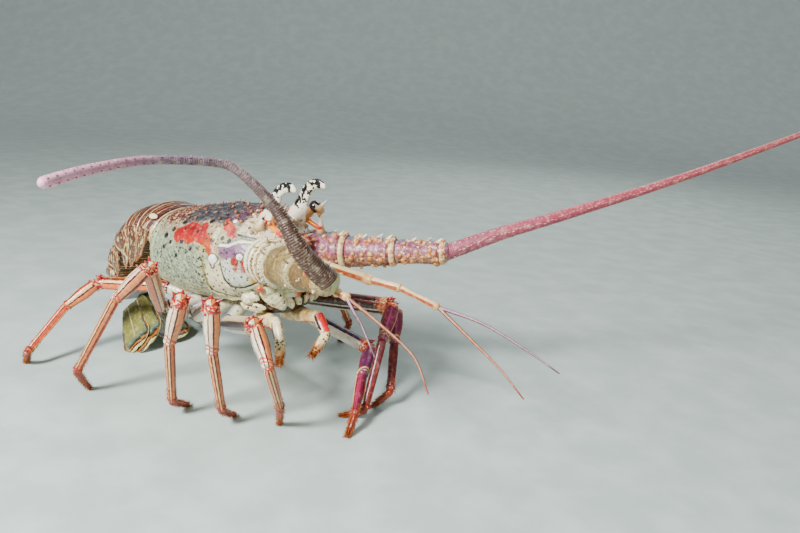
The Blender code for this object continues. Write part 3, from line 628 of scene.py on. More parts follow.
SHELL_PATCHES = {
    "red": [(-16, 29, 5.5), (-5, 31, 7), (3, 31, 5.5), (-9, 37, 4), (4, 37, 3), (-13, 34, 4)],
    "ember": [(9, 25, 4), (12.5, 14, 3.6), (11, 20, 4)],
    "flame": [(19.5, 47, 2.6), (23, 42, 3.4), (27, 36, 3.2), (30, 31, 1.8)],
    "lobe": [(29, -4, 5), (35, -5, 5.5), (31, -11, 5), (37, -11, 4.5)],
    "blush": [(33, 3, 2.6), (38, 2, 2.6)],
    "mauve": [(26, 13, 4.4), (33, 14, 4.6), (38, 17, 3.6), (24, 17, 2.6)],
    "bead": [(36, 8.5, 2.0), (16, 4.5, 2.7), (26, 49, 1.5), (41, 14, 1.2)],
    "spots": [(-31, 27, 2.2), (-24, 35, 1.9), (-24, 19, 1.5), (-12, 20, 1.4), (-3, 13, 1.3), (-17, 5, 1.2),
              (-31, 13, 1.1), (-17, 45, 1.7), (8, 47, 1.8), (14, 24, 1.4), (22, 27, 1.2), (27, 25, 1.2),
              (-12, 35, 0.9), (1, 32, 0.9), (18, 53, 1.4)],
}


def line_distance(x, up, line):
    """Distance in millimetres from places on the shell to a line of (x, angle up) corners."""
    best = np.full(np.broadcast(x, up).shape, 1e9)
    for (x0, u0), (x1, u1) in zip(line[:-1], line[1:]):
        dx, du = x1 - x0, (u1 - u0) * DEGREE
        px, pu = x - x0, (up - u0) * DEGREE
        t = np.clip((px * dx + pu * du) / (dx * dx + du * du), 0, 1)
        best = np.minimum(best, np.hypot(px - t * dx, pu - t * du))
    return best


def shell_marks(x, up):
    """How far each place is, in millimetres, from each kind of line and from the edge of each patch."""
    marks = {key: np.min([line_distance(x, up, line) for line in lines], 0)
             for key, lines in SHELL_LINES.items()}
    for key, circles in SHELL_PATCHES.items():
        marks[key] = np.min([np.hypot(x - cx, (up - cu) * DEGREE) - r for cx, cu, r in circles], 0)
    return {"from_" + key: values for key, values in marks.items()}


def shell_spine_places():
    """Body x, angle up and length of each spine of one side, in rows that weaken to the rear."""
    rows = [(38, (78,), 5.0), (37, (44, 52, 64), 3.0), (30, (50, 68, 84), 4.6), (34, (60, 76), 2.6),
            (25, (58, 76), 2.4), (21, (44, 62, 80), 4.2), (13, (50, 72), 3.4), (6, (60, 84), 2.0),
            (-2, (58, 80), 3.0), (-9, (52, 68), 1.8), (-16, (52, 76), 2.8), (-24, (62, 82), 1.8),
            (-30, (60, 82), 2.6), (-37, (54, 70), 1.7), (-24, (35,), 1.6), (-24, (19,), 1.4),
            (-12, (20,), 1.4), (-3, (13,), 1.3), (36, (8,), 2.4)]
    return [(x, up, length) for x, ups, length in rows for up in ups]


def shell_skin():
    """The whole shell as rings of the outline's superellipse, lowered by a Gaussian along each groove,
    swollen by one at each bump and spine root, and turned in behind the rear rim."""
    m, n, front = 250, 360, 49.4
    x = np.concatenate([[-47.5, -49.4], np.linspace(-50, front, m), [50.4, 50.9]])
    shrink = np.concatenate([[0.86, 0.95], np.ones(m), [0.9, 0.6]])
    a = np.arange(n) * 2 * math.pi / n
    up = np.degrees(np.arcsin(np.sin(a)))
    points, _ = shell_point(np.minimum(x, front)[:, None], np.degrees(a)[None])
    middle = points.mean(1, keepdims=True)
    points = middle + (points - middle) * shrink[:, None, None]
    points[-2:] += (place((1.0, 0, 0)) - place((0, 0, 0))) * np.array([1.0, 1.5])[:, None, None]
    points[0] += place((2.5, 0, 0)) - place((0, 0, 0))
    px, pu = np.broadcast_arrays(x[:, None], up[None])
    height = 0.35 * grain(points, 14, 3) + 0.16 * grain(points, 4.5, 4)
    for line, deep, wide in GROOVES:
        height = height - deep * bump(line_distance(px, pu, line), wide)
    for (cx, cu), rx, ru, tall in SWELLINGS:
        height = height + tall * np.exp(-((px - cx) / rx) ** 2 - ((pu - cu) / ru) ** 2)
    foot = np.zeros(px.shape)
    for sx, su, length in shell_spine_places():
        near = np.exp(-((px - sx + 0.8) / 1.9) ** 2 - ((pu - su) * DEGREE / 1.6) ** 2)
        height = height + near * (0.2 + 0.1 * length)
        foot = np.maximum(foot, near)
    rim = bump(line_distance(px, pu, RIM), 1.3)
    height = height + 0.9 * rim
    height[:2] = 0
    height[-2:] = 0
    points = raised(points, height - 0.15)
    marks = shell_marks(px, pu)
    marks.update(foot=foot, rim=rim)
    return wrap(points, x, np.append(up, up[0]), marks)


def spot(f, x, up, centre, radius, soft, wobble):
    """A mask that is one inside an ellipse on the tail and fades out over soft, with a noisy edge."""
    dx = (x - centre[0]) / radius[0]
    du = (up - centre[1]) / radius[1]
    return f.ramp((dx * dx + du * du) ** 0.5 + wobble, 1 + soft, 1 - soft)


def shell_finish():
    """Grey-green sides with cream low down, a dark back in three tones, then the painted patches, lines,
    dashes and dots, and pale edges at both ends."""
    f, at, x, up = fresh_finish("shell_finish", 0.42, 0.2)
    cloud = f.waver(at, 0.16, 4.0)
    fine = f.waver(at, 0.9, 3.0)
    grit = f.noise(at, 0.45, 3.0)
    edge = cloud * 6 + fine * 4
    level = up + cloud * 20
    streak = f.noise(f.drawn(at, (5, 1.4, 1.6), (0, 0.5, 0.2)), 0.9, 3.0)

    def patch(name, grow=0.0, soft=0.5, rough_edge=1.0):
        """One within a patch or a line grown by some millimetres, with a soft and wavy edge."""
        return f.ramp(f.mark("from_" + name) + edge * rough_edge, grow + soft, grow - soft)

    side = f.layers("8b9480", (f.ramp(grit, 0.45, 0.6), "aab09a"),
                    (f.ramp(up + fine * 24, -12, -40), "c4c6aa"))
    side = f.layers(side, (f.band(x + cloud * 20, 17, 7, 4) * f.ramp(up + cloud * 30, 8, -4), "d9d5b8"),
                    (f.band(x, 14, 9, 5) * f.band(up, 26, 15, 8) * 0.8, "bdb894"))
    upper = f.ramp(level, 27, 36)
    side = f.layers(side, (upper * f.ramp(grit, 0.42, 0.52) * 0.8, "9a8070"),
                    (upper * f.ramp(streak, 0.52, 0.6) * 0.8, "d2c5a8"))
    rear = f.layers("5c302c", (f.ramp(grit, 0.45, 0.62), "80483c"), (f.ramp(streak, 0.56, 0.61), "d8b896"),
                    (f.ramp(streak, 0.47, 0.42), "3f2226"))
    slate = f.layers("2c2e33", (f.ramp(grit, 0.42, 0.58), "40434a"),
                     (f.ramp(streak, 0.55, 0.64), "5f5658"))
    plum = f.layers("46363f", (f.ramp(grit, 0.45, 0.6), "64505c"), (f.ramp(fine, 0.06, 0.14), "96787c"))
    back = f.mix(f.ramp(x + cloud * 24, -24, -12), rear, slate)
    back = f.mix(f.ramp(x + cloud * 12, 16, 24), back, plum)
    base = f.mix(f.ramp(up + cloud * 40 + fine * 14, 42, 50), side, back)
    brow = f.ramp(x + edge, 31, 34) * f.band(up + cloud * 24, 51, 13, 4)
    base = f.layers(base, (brow, "d2ceba"), (brow * f.ramp(grit, 0.52, 0.62) * 0.7, "8a6e58"))
    base = f.layers(base, (patch("ember"), "a85628"), (patch("red", 0.6), "9c1c14"),
                    (patch("red", -2.5) * f.ramp(level, 30, 37), "74121a"),
                    (patch("red") * f.ramp(level, 28, 20) * 0.7, "b8461c"), (patch("flame"), "b84418"),
                    (patch("flame", -0.6) * f.ramp(x, 24, 29), "8c1a10"))
    base = f.layers(base, (patch("mauve", 0.4), "86667c"),
                    (patch("mauve", -1.5) * f.ramp(grit, 0.45, 0.6), "5d4560"),
                    (patch("lobe", 1.0, 0.7, 0.5), "c6cabe"),
                    (patch("blush", 0.2, 0.9) * f.ramp(level, 9, 6), "98391c"),
                    (f.ramp(x + edge, 39.5, 42) * f.band(up, -8, 9, 5), "c9a458"))
    dash = f.dots(f.drawn(at, (2.6, 1, 1), (0, 0.5, 0)), 0.62, 0.34, 0.24)
    low = f.ramp(level, 23, 14) * f.ramp(up, -58, -40)
    flank = low * f.ramp(x + edge, 11, 5)
    dots = f.dots(at, 0.34, 0.29, 0.21, 0.9)
    specks = f.dots(at, 0.75, 0.27, 0.18)
    near_lines = patch("furrow", 4.5, 1.5).most(f.band(x, 14, 5, 2) * f.band(up, 24, 14, 6))
    base = f.layers(base, (flank * dash * 0.9, "3c3a2a"), (patch("furrow", 0.9, 0.5, 0.4), "857c50"),
                    (near_lines * dots, "1c1712"), (low * dots * 0.9, "1d1a14"),
                    (specks * patch("lobe", 1.5) * f.ramp(up, -8, 2), "4a3424"),
                    (specks * f.ramp(up, 20, 34) * f.ramp(up, 62, 50) * 0.7, "2c2420"))
    base = f.layers(base, (patch("pale", 1.0, 0.3, 0.3), "eef0e0"), (patch("ink", 0.65, 0.3, 0.3), "14110f"),
                    (patch("bead", 0.7, 0.3, 0.3), "2c1c18"), (patch("bead", 0.0, 0.3, 0.3), "fbf7ea"),
                    (patch("spots", 0.1, 0.3, 0.4), "110d0b"))
    ends = f.ramp(x + fine * 2, -43.5, -45.5)
    front_rim = f.ramp(x + fine * 1.5, 44.3, 45.6)
    foot = f.ramp(f.mark("foot"), 0.45, 0.8) * f.ramp(up, 38, 50)
    base = f.layers(base, (ends * 0.8, "a9b094"), (ends * dots, "26221b"), (front_rim, "e8e4d0"),
                    (front_rim * dots, "4b2a22"), (foot * 0.8, "b98058"), (f.mark("rim") * 0.8, "e6dfc0"))
    height = f.noise(at, 2.2, 4.0) * 0.6 - flank * dash * 0.9 - dots * 0.3 + f.noise(at, 0.6, 2.0) * 0.8
    return f.done(f.wear(base, at, 0.3, 0.2), height, 0.6, 0.5, 0.34 + f.noise(at, 0.8) * 0.2)


def spine_finish(name, root, middle, tip, band=None):
    """A spine's colours by the height on it, each spine a little lighter or darker than the next."""
    f = Finish(name, rough=0.34, coat=0.2)
    tall, tone = f.surface()
    base = f.layers(root, (f.ramp(tall, 0.12, 0.42), middle), (f.ramp(tall, 0.62, 0.85), tip))
    if band:
        base = f.mix(f.band(tall, 0.66, 0.07, 0.05), base, band)
    base = f.mix(f.ramp(tone, 0.75, 1.0) * 0.35, base, "3a2018")
    return f.done(f.wear(base, f.where(), 1.2, 0.2))


def horn_skin(side):
    """The brow horn: ovals along a hooked path, deep and broad at the root and drawn to a point."""
    path = place(spline(mirrored(HORN, side), 90))
    t = np.linspace(0, 1, 90)
    high = np.interp(t, [0, 0.17, 0.33, 0.5, 0.83, 0.97, 1], [8.6, 6.4, 4.3, 3.7, 2.9, 1.4, 0.3])
    grid = rings(path, high * 0.58, high, (0, 1, 0), 44, 2.2)
    grid = raised(grid, 0.25 * grain(grid, 4, 9) * (1 - t)[:, None] - 0.1)
    return wrap(grid, t)


def horn_finish():
    """White with black blobs down its back, a black ring near the end and a cream tip."""
    f, at, t, around = fresh_finish("horn_finish", 0.28, 0.35)
    wave = f.waver(at, 0.3, 2.0)
    back = f.band(around, 0.34, 0.15, 0.07)
    blobs = f.ramp(f.noise(at, 0.42, 1.0) + back * 0.2, 0.6, 0.63) * f.band(t + wave * 0.2, 0.56, 0.3, 0.04)
    ring = f.band(t + wave * 0.3, 0.84, 0.06, 0.015)
    root = f.ramp(t + wave * 0.3, 0.2, 0.05)
    base = f.layers("efe9da", (root * 0.6, "b89c84"), (blobs, "100d0c"), (ring, "100d0c"),
                    (f.ramp(t, 0.93, 0.97), "f4e9cc"))
    return f.done(f.wear(base, at, 0.6, 0.15), f.noise(at, 1.5), 0.35, 0.3)


def shell_spines():
    """Spines in rows on both sides, leaning forward, with smaller ones between them."""
    draw = np.random.default_rng(12)
    thorns = []
    for side in (1, -1):
        for x, up, length in shell_spine_places():
            point, out = shell_point(x, up, side)
            thorns.append((point + out * 0.3, out + np.array((0.75, 0, 0.1)), length, length * 0.3))
    for _ in range(SMALL_SPINES):
        x, up, side = draw.uniform(-42, 40), draw.uniform(44, 92), draw.choice([1, -1])
        point, out = shell_point(x, up, side)
        size = draw.uniform(0.6, 1.3)
        thorns.append((point, out + np.array((0.9, 0, 0)), size, size * 0.4))
    return spikes(*zip(*thorns), (0.22, 0, -0.05), 7)


def brow_spines():
    """The strong pale spine behind each brow horn and the small ones round its root."""
    thorns = []
    for side in (1, -1):
        for root, way, length in (
                ((43, 18.5, 22.5), (0.55, 0.22, 0.75), 10), ((48, 8, 21), (0.9, 0, 0.5), 4.5),
                ((50, 18, 24), (0.7, 0.5, 0.3), 2.6), ((40, 23, 19), (0.5, 0.8, 0.6), 4.0),
                ((41, 13, 26), (0.4, 0, 0.9), 4.6), ((36, 15, 26.5), (0.5, 0.3, 0.9), 3.4)):
            root, way = mirrored((root, way), side)
            thorns.append((place(root), way, length, length * 0.2 + 0.15))
    levels = (0, 0.12, 0.25, 0.4, 0.55, 0.7, 0.82, 0.92)
    return spikes(*zip(*thorns), (0.12, 0, 0.05), 10, levels)


def brow_knobs():
    """Small round nodules strewn over the front of the shell round the horns and orbits."""
    draw = np.random.default_rng(31)
    nodules = []
    for _ in range(BROW_KNOBS):
        x, up, side = draw.uniform(31, 46.5), draw.uniform(36, 92), draw.choice([1, -1])
        point, out = shell_point(x, up, side)
        nodules.append((point, out + np.array((0.3, 0, 0)), draw.uniform(0.5, 1.5)))
    return knobs(*zip(*nodules), 0.9)


def orbit_rim(side):
    """The bright bar under the eye's hollow: ovals along a bowed line from the brow to the feeler's root."""
    line = [(37, 12, 29), (44, 14, 25.5), (50, 15.5, 21.5), (56, 16.5, 18), (60, 16.5, 17)]
    path = spline(place(mirrored(line, side)), 60)
    t = np.linspace(0, 1, 60)
    high = np.interp(t, [0, 0.1, 0.5, 0.9, 1], [0.7, 1.6, 1.8, 1.5, 0.5])
    return wrap(rings(path, high, high * 1.1, (0, 0, 1), 18), t)


def orbit_finish():
    """Red at both ends, through orange to a yellow painted highlight past the middle."""
    f, at, t, _ = fresh_finish("orbit_finish", 0.25, 0.4)
    # the yellow stop past the middle is a painted highlight, on the orbit bar and on the hinge knobs that
    # share this finish
    stops = [(0, "b0281a"), (0.2, "c2331b"), (0.4, "e8741f"), (0.62, "eda040"), (0.8, "d8501f"),
             (1.0, "b0281a")]
    base = f.bands(t + f.waver(at, 0.5, 2.0) * 0.2, stops, True)
    return f.done(f.wear(base, at, 0.8, 0.15), f.noise(at, 2.0), 0.3, 0.2)


def eye_skin(side):
    """A short stem with a round eye: radius set by the angle from the eye's middle."""
    centre, inner = place(mirrored([(56, 16, 30), (46, 11.5, 22)], side))
    way = unit(centre - inner)
    t = np.radians(np.linspace(-48, 88, 46))
    stem = [inner, inner + (centre - inner) * 0.4]
    path = np.concatenate([stem, centre + way * 3.9 * np.sin(t)[:, None]])
    r = np.concatenate([[2.8, 2.6], 4.0 * np.cos(t)])
    return wrap(rings(path, r, r, (0, 0, 1), 48), np.linspace(0, 1, len(path)))


def eye_finish():
    """Glossy maroon-black with lighter noise patches painted as glints, faint facets, on a tan stem with a
    brown edge.
    """
    f, at, t, _ = fresh_finish("eye_finish", 0.2, 0.6)
    # painted glints: lighter maroon noise patches over the eye stand in for highlights
    painted_glint = f.noise(at, 0.5, 2.0)
    base = f.layers("180a0e", (f.ramp(painted_glint, 0.5, 0.75) * 0.6, "3a1a22"), (f.ramp(t, 0.16, 0.1), "b09070"),
                    (f.band(t, 0.17, 0.02, 0.02), "5f3222"))
    return f.done(base, f.cells(at, 3.0), 0.08, 0.1)


def build_shell():
    """The shell, and on each side a horn, an orbit's rim and an eye, then the spines and knobs."""
    piece("carapace_shell", shell_skin(), shell_finish(), ["carapace"])
    horny = horn_finish()
    rim = orbit_finish()
    eyes = eye_finish()
    for side, word in ((1, "left"), (-1, "right")):
        piece("brow_horn_%s_shell" % word, horn_skin(side), horny, ["brow_horn_" + word])
        piece("orbit_rim_" + word, orbit_rim(side), rim)
        piece("eye_ball_" + word, eye_skin(side), eyes, ["eye_" + word])
    dull = spine_finish("spine_finish", "5c3c3a", "a88470", "3a2020")
    piece("carapace_spines", shell_spines(), dull)
    pale = spine_finish("brow_spine_finish", "d9c9a8", "f3ecd8", "e8c48a", "1a1512")
    piece("brow_spines", brow_spines(), pale)
    nodules = pale_finish("brow_knob_finish", "d8c4a0", "b07a58", "8a3a20", 0.5, 0.7)
    piece("brow_knobs", brow_knobs(), nodules)


def tail_frame(t):
    """Points down the back of the tail, the ways along it and the ways in, at places from 0 to 6."""
    fine = spline([(x, 0, z) for x, z in TAIL_PATH], 361)
    along = unit(np.gradient(fine, axis=0))
    place_at = np.linspace(0, 6, 361)
    p = np.stack([np.interp(t, place_at, fine[:, k]) for k in range(3)], -1)
    a = unit(np.stack([np.interp(t, place_at, along[:, k]) for k in range(3)], -1))
    inward = np.cross(a, (0.0, 1.0, 0.0))
    turn = np.sign(((np.array([-70.0, 0, 40]) - p) * inward).sum(-1, keepdims=True))
    return p, a, inward * turn


def tail_grid(t, puff, n):
    """Tail sections: an arch over the back closed by a shallow belly, each spread by its puff."""
    p, _, inward = tail_frame(t)
    half = (np.interp(t, range(7), TAIL_HALF) * puff)[:, None]
    deep = np.interp(t, range(7), TAIL_DEEP)[:, None]
    c, s, angle = oval(n, 2.1)
    drop = np.where(s > 0, deep * 0.62 * (1 - s), deep * 0.62 + deep * 0.38 * -s)
    drop = drop + deep * (1 - puff[:, None]) * 0.5
    side = half * c * np.where(s < 0, 1 - 0.25 * s ** 2, 1)
    grid = p[:, None] + side[..., None] * np.array([0, 1.0, 0]) + drop[..., None] * inward[:, None]
    return grid, np.degrees(np.arcsin(np.sin(angle)))


def tail_segment_skin(k):
    """One tail plate: flared to its rear rim, stepped in front, with a cross groove, a rim bead and a
    lip turned in under the edge."""
    m, n = 64, 150
    f = np.linspace(0.0, 1.0, m)
    puff = np.interp(f, [0, 0.06, 0.12, 0.35, 0.7, 0.93, 0.985, 1.0],
                     [0.955, 0.962, 0.99, 1.0, 1.012, 1.028, 1.026, 0.99])
    t = k + np.interp(f, [0, 1], [-0.02, 1.005])
    grid, up = tail_grid(t, puff, n)
    height = 0.12 * grain(grid, 5, 20 + k) - 0.45 * bump(f - 0.42, 0.035)[:, None] * (up > 8)[None]
    height = height + 0.28 * bump(f - 0.95, 0.025)[:, None] - 0.3 * bump(f - 0.125, 0.02)[:, None]
    height = height + 0.5 * bump(f - 0.6, 0.3)[:, None] * bump(up - 12, 9)[None]
    grid = raised(grid, height - 0.12)
    lip = grid[-1:] + (grid[-3:-2].mean(1, keepdims=True) - grid[-1:]) * 0.06
    grid = np.concatenate([grid, lip])
    return wrap(grid, np.append(f, 1.0) + k, np.append(up, up[0]))


def tail_flap_skin(k):
    """Broad side flaps that lie like shingles: ovals along a line that hooks back to a tip, with teeth."""
    p, a, inward = [v[0] for v in tail_frame(np.array([k + 0.5]))]
    deep = np.interp(k + 0.5, range(7), TAIL_DEEP)
    half = np.interp(k + 0.5, range(7), TAIL_HALF)
    skins = []
    for side in (1, -1):
        start = p + inward * deep * 0.42 + np.array([0, side * half * 0.93, 0])
        end = p + inward * deep * FLAP_DEEP[k] + np.array([0, side * half * 1.04, 0])
        way = np.array([0, 0.4, 0.75, 1])[:, None]
        sweep = np.array([0, 0.12, 0.5, 1])[:, None]
        path = spline(start + (end - start) * way + a * FLAP_BACK[k] * sweep, 60)
        t = np.linspace(0, 1, 60)
        wide = ease(t, [0, 0.3, 0.65, 0.9, 1], [5.0, 6.2, 4.6, 1.8, 0.4]) * FLAP_WIDE[k]
        grid = rings(path, wide, np.interp(t, [0, 0.5, 1], [1.9, 1.6, 0.5]), a, 32, 2.4)
        grid = raised(grid, 0.1 * grain(grid, 3, 40 + k))
        skins.append(wrap(grid, t))
        foot = path[24:54:6] + a * wide[24:54:6, None] * 0.9
        skins.append(spikes(foot, a + inward * 0.5, 1.3, 0.5, sides=6, colour=np.zeros(len(foot))))
    return join(skins)


def tail_finish():
    """Dark red-brown crossed by fine cream and orange lines, blotched low down, with a pair of pale eyes."""
    f, at, t, up = fresh_finish("tail_plate_finish", 0.28, 0.4)
    cloud = f.waver(at, 0.14, 3.0)
    fine = f.waver(at, 0.8, 3.0)
    place_on = t.cycle() + fine * 0.03 + cloud * 0.05
    base = f.mix(f.clouds(at, 0.35, 0.4, 0.65, 4.0), "4c2a28", "664440")
    base = f.mix(f.ramp(up + cloud * 40, 46, 20) * 0.5, base, "70483a")
    lines = f.stripes(place_on, (0.09, 0.018, 0.01), (0.4, 0.022, 0.012), (0.7, 0.016, 0.01),
                      (0.95, 0.02, 0.01))
    dark = f.stripes(place_on, (0.15, 0.035, 0.02), (0.63, 0.04, 0.02))
    warm = f.band(place_on, 0.56, 0.02, 0.015)
    base = f.layers(base, (dark * 0.8, "241010"), (warm * 0.7, "a4683c"), (lines * 0.9, "d8bc94"))
    blot = f.ramp(f.noise(f.drawn(at, (1, 1, 2.2)), 0.5, 2.0), 0.56, 0.6) * f.band(up + cloud * 20, 12, 10, 5)
    base = f.layers(base, (blot * 0.8, "c4c49a"),
                    (f.band(up, 0, 5, 4) * f.ramp(fine, 0.0, 0.12) * 0.6, "b0683a"))
    for centre, radius in (((0.45, 43), (0.22, 5.2)), ((5.5, 46), (0.24, 9))):
        ring = spot(f, t, up, centre, (radius[0] * 1.3, radius[1] * 1.4), 0.1, fine * 0.3)
        dot = spot(f, t, up, centre, radius, 0.12, fine * 0.3)
        base = f.layers(base, (ring * 0.9, "3a1614"), (dot, "ece2bc"))
    height = f.noise(at, 1.6, 3.0) * 0.5
    return f.done(f.wear(base, at, 0.4, 0.2), height, 0.4, 0.3, 0.24 + f.noise(at, 1.0) * 0.16)


def flap_finish():
    """Brown with fine lines along it, pale green blotches, cream edges and an orange tip."""
    f, at, t, around = fresh_finish("flap_finish", 0.34, 0.25)
    blot = f.ramp(f.noise(f.drawn(at, (1, 1, 2.4)), 0.5, 2.0), 0.56, 0.6)
    lines = f.band((around * 4).cycle(), 0.5, 0.09, 0.05)
    edge = f.stripes(around, (0.0, 0.05, 0.03), (1.0, 0.05, 0.03))
    base = f.layers("4c2c24", (f.clouds(at, 0.3, 0.4, 0.6), "6c4838"), (lines * 0.7, "b08c60"),
                    (blot * 0.85, "c4c49a"), (edge, "d8b080"), (f.ramp(t, 0.8, 0.95), "a05c34"),
                    (f.ramp(t, 0.95, 1.0), "e0cc9c"))
    return f.done(f.wear(base, at, 0.8, 0.25), f.noise(at, 2.0), 0.3, 0.2)


def blade_grid(root, way, out, up, length, wide, cup, curl, thick, ribs):
    """A fan blade: rings across the way whose half-width follows the outline, cupped across by v squared
    and curled along by u squared, with fine ribs that spread with the blade."""
    n, m = 72, 80
    way, up, out = unit(way), unit(up), unit(out)
    u = np.linspace(0, 1, m) ** 0.92
    spread = wide * np.interp(u, [0, 0.15, 0.45, 0.75, 0.93, 1], [0.42, 0.6, 0.86, 1.0, 0.78, 0.4])
    round_end = np.sqrt(np.clip(1 - ((u - 0.75) / 0.255) ** 2, 0.02, 1))
    spread = np.where(u > 0.75, wide * round_end, spread)
    a = np.arange(n) * 2 * math.pi / n
    v, w = np.cos(a), np.sin(a)
    body = thick / 2 * np.interp(u, [0, 0.35, 0.8, 1], [1.15, 0.95, 0.6, 0.35])
    rib = 1 + ribs * np.cos(v[None] * 46) * np.interp(u, [0.3, 0.55, 1], [0, 1, 1])[:, None]
    mid = root + way * (length * u)[:, None] + up * (curl * u ** 2)[:, None]
    skin = np.sign(w)[None] * np.abs(w)[None] ** 0.5 * body[:, None] * rib
    lift = skin + cup * v[None] ** 2 * u[:, None]
    grid = mid[:, None] + out * (v[None] * spread[:, None])[..., None] + up * lift[..., None]
    return wrap(grid, u, np.append(v, v[0]))


def fan_finish():
    """Olive near the root, yellow-green within, then dark and brown bands that follow the blade's outline,
    and a pale painted highlight along the middle ridge.
    """
    f, at, u, v = fresh_finish("fan_olive_finish", 0.3, 0.35)
    cloud = f.waver(at, 0.16, 3.0)
    fine = f.waver(at, 0.8, 2.0)
    streak = (v * 46).wave()
    reach = (u + cloud * 0.1).most(v.size() * f.ramp(u, 0.1, 0.5) * 0.99 + cloud * 0.06) + fine * 0.02
    base = f.bands(reach, [(0, "5e5a42"), (0.35, "7c7950"), (0.62, "86855a"), (0.76, "64786a"),
                           (0.82, "3c4e48"), (0.85, "16120f"), (0.885, "a06a34"), (0.925, "201813"),
                           (0.96, "d8cf9e")])
    soft = f.bands(reach, [(0, "5e5a42"), (0.4, "7c7950"), (0.66, "8f8d5c"), (0.8, "68786a"),
                           (1, "b8b088")], True)
    base = f.mix(f.ramp(reach, 0.83, 0.8), base, soft)
    base = f.mix(f.ramp(streak, 0.2, 0.9) * f.ramp(u, 0.5, 0.7) * 0.25, base, "8a6a34")
    # painted highlight: a pale line along the middle ridge of each blade, fading out before the tip
    base = f.mix(f.band(v, 0.0, 0.03, 0.04) * f.ramp(u, 0.8, 0.65) * 0.8, base, "b4b294")
    return f.done(f.wear(base, at, 0.35, 0.3), streak * 0.5 + f.noise(at, 1.2), 0.3, 0.25)


def fan_skins():
    """The telson and four side blades, with the same roots and ways as the solids."""
    hub = np.array([-98.0, 0, 28.5])
    fan = {"telson": blade_grid(hub, (0.82, 0, -0.57), (0, 1, 0), (0.57, 0, 0.82), 46, 14, 0.0, 2, 2.4, 0.16)}
    blades = {"fan_inner_": ((3, 9.5, -1.5), (0.80, 0.33, -0.50), (-0.10, 0.76, -0.64), 44, 13.5, 2),
              "fan_outer_": ((0, 15, -7), (0.82, 0.38, -0.42), (-0.33, 0.66, -0.67), 41, 11.5, 1)}
    for side, word in ((1, "left"), (-1, "right")):
        for name, (root, way, out, length, wide, curl) in blades.items():
            root, way, out = mirrored((root, way, out), side)
            up = np.cross(way, out) * side
            fan[name + word] = blade_grid(hub + root, way, out, up, length, wide, -1.5, curl, 1.6, 0.2)
    return fan


def build_tail():
    """Six plates, a pair of flaps under each of the first five, and the fan."""
    plates = tail_finish()
    flaps = flap_finish()
    for k in range(6):
        piece("tail_plate_%d" % (k + 1), tail_segment_skin(k), plates, ["abdomen_%d" % (k + 1)])
        if k < 5:
            piece("tail_flaps_%d" % (k + 1), tail_flap_skin(k), flaps)
    olive = fan_finish()
    for word, skin in fan_skins().items():
        piece(word + "_blade", skin, olive, [word])


def stalk_joint(a, b, start, end, last, n=72, m=46):
    """One thick feeler joint: a tube that swells to a flared collar and turns in at its far end."""
    d = unit(b - a)
    length = np.linalg.norm(b - a)
    u = np.concatenate([[-0.14, -0.05], np.linspace(0.0, 1.0, m), [1.0, 0.985]])
    mean = start + (end - start) * u
    shape = np.interp(u, [-0.14, 0.02, 0.3, 0.62, 0.8, 0.9, 0.955, 1.0],
                      [0.72, 0.94, 0.97, 1.0, 1.05, 1.11, 1.1, 0.97])
    r = mean * shape
    r[-2:] = end * np.array([0.88, 0.74])
    if last:
        u[-2:] = 1.0 + np.array([2.0, 3.4]) / length
        r[-2:] = end * np.array([0.7, 0.3])
    path = a + d * (u * length)[:, None]
    side = unit(np.cross(d, (0, 0, 1)))
    return rings(path, r, r * 0.92, side, n), np.clip(u, 0, 0.999)


def stalk_skin(path, radii, seed):
    """Three ringed joints. The first has two raised bows across it, and the last ends in a low dome."""
    p = np.asarray(path, float)
    skins = []
    for i in range(3):
        grid, u = stalk_joint(p[i], p[i + 1], radii[i], radii[i + 1], i == 2)
        height = 0.3 * grain(grid, 5, seed + i) + 0.12 * grain(grid, 2, seed + 5 + i)
        height = height - 0.55 * bump(u - 0.86, 0.02)[:, None]
        if i == 0:
            bows = 1.1 * bump(u - 0.4, 0.045) + 0.9 * bump(u - 0.65, 0.04) - 0.6 * bump(u - 0.2, 0.05)
            height = height + bows[:, None] * (grid[..., 2] > p[i, 2] - 9)
        grid = raised(grid, height * (u < 0.97)[:, None])
        skins.append(wrap(grid, u + i))
    return join(skins)


def stalk_place(p, radii, i, t, angle, sign):
    """The middle of a joint at a place along it, the ways along and out at an angle, and the radius."""
    d = unit(p[i + 1] - p[i])
    side = unit(np.cross(d, (0, 0, 1)))
    out = round_way(side * -sign, np.cross(side, d), angle)
    middle = p[i] + d * np.linalg.norm(p[i + 1] - p[i]) * t
    return middle, d, out, radii[i] + (radii[i + 1] - radii[i]) * t


def stalk_spines(path, radii, sign, seed):
    """Strong spines along the upper and outer sides of each joint and in a crown at its collar. The left
    stalk has a long forked one near its root."""
    p = np.asarray(path, float)
    draw = np.random.default_rng(seed)
    small, short = (8, 1) if sign < 0 else (26, 0.65)
    thorns = []
    for i in range(3):
        rows = list(STALK_SPINES)
        rows += [(draw.uniform(0.15, 0.8), draw.uniform(-40, 200), draw.uniform(0.2, 0.45))
                 for _ in range(small)]
        rows += [(0.93, angle, 0.4) for angle in range(-80, 250, 30)] if sign > 0 or i == 0 else []
        for order, (t, angle, size) in enumerate(rows):
            if sign > 0 and i == 0 and order == 0:
                thorns += FORK
                continue
            middle, d, out, radius = stalk_place(p, radii, i, t, angle, sign)
            thorns.append((middle + out * radius * 0.93, out + d * 0.8, (3.4 + 0.12 * radius) * size * short,
                           0.45 + 0.8 * size))
    return spikes(*zip(*thorns), (0.1, 0, 0), 7)


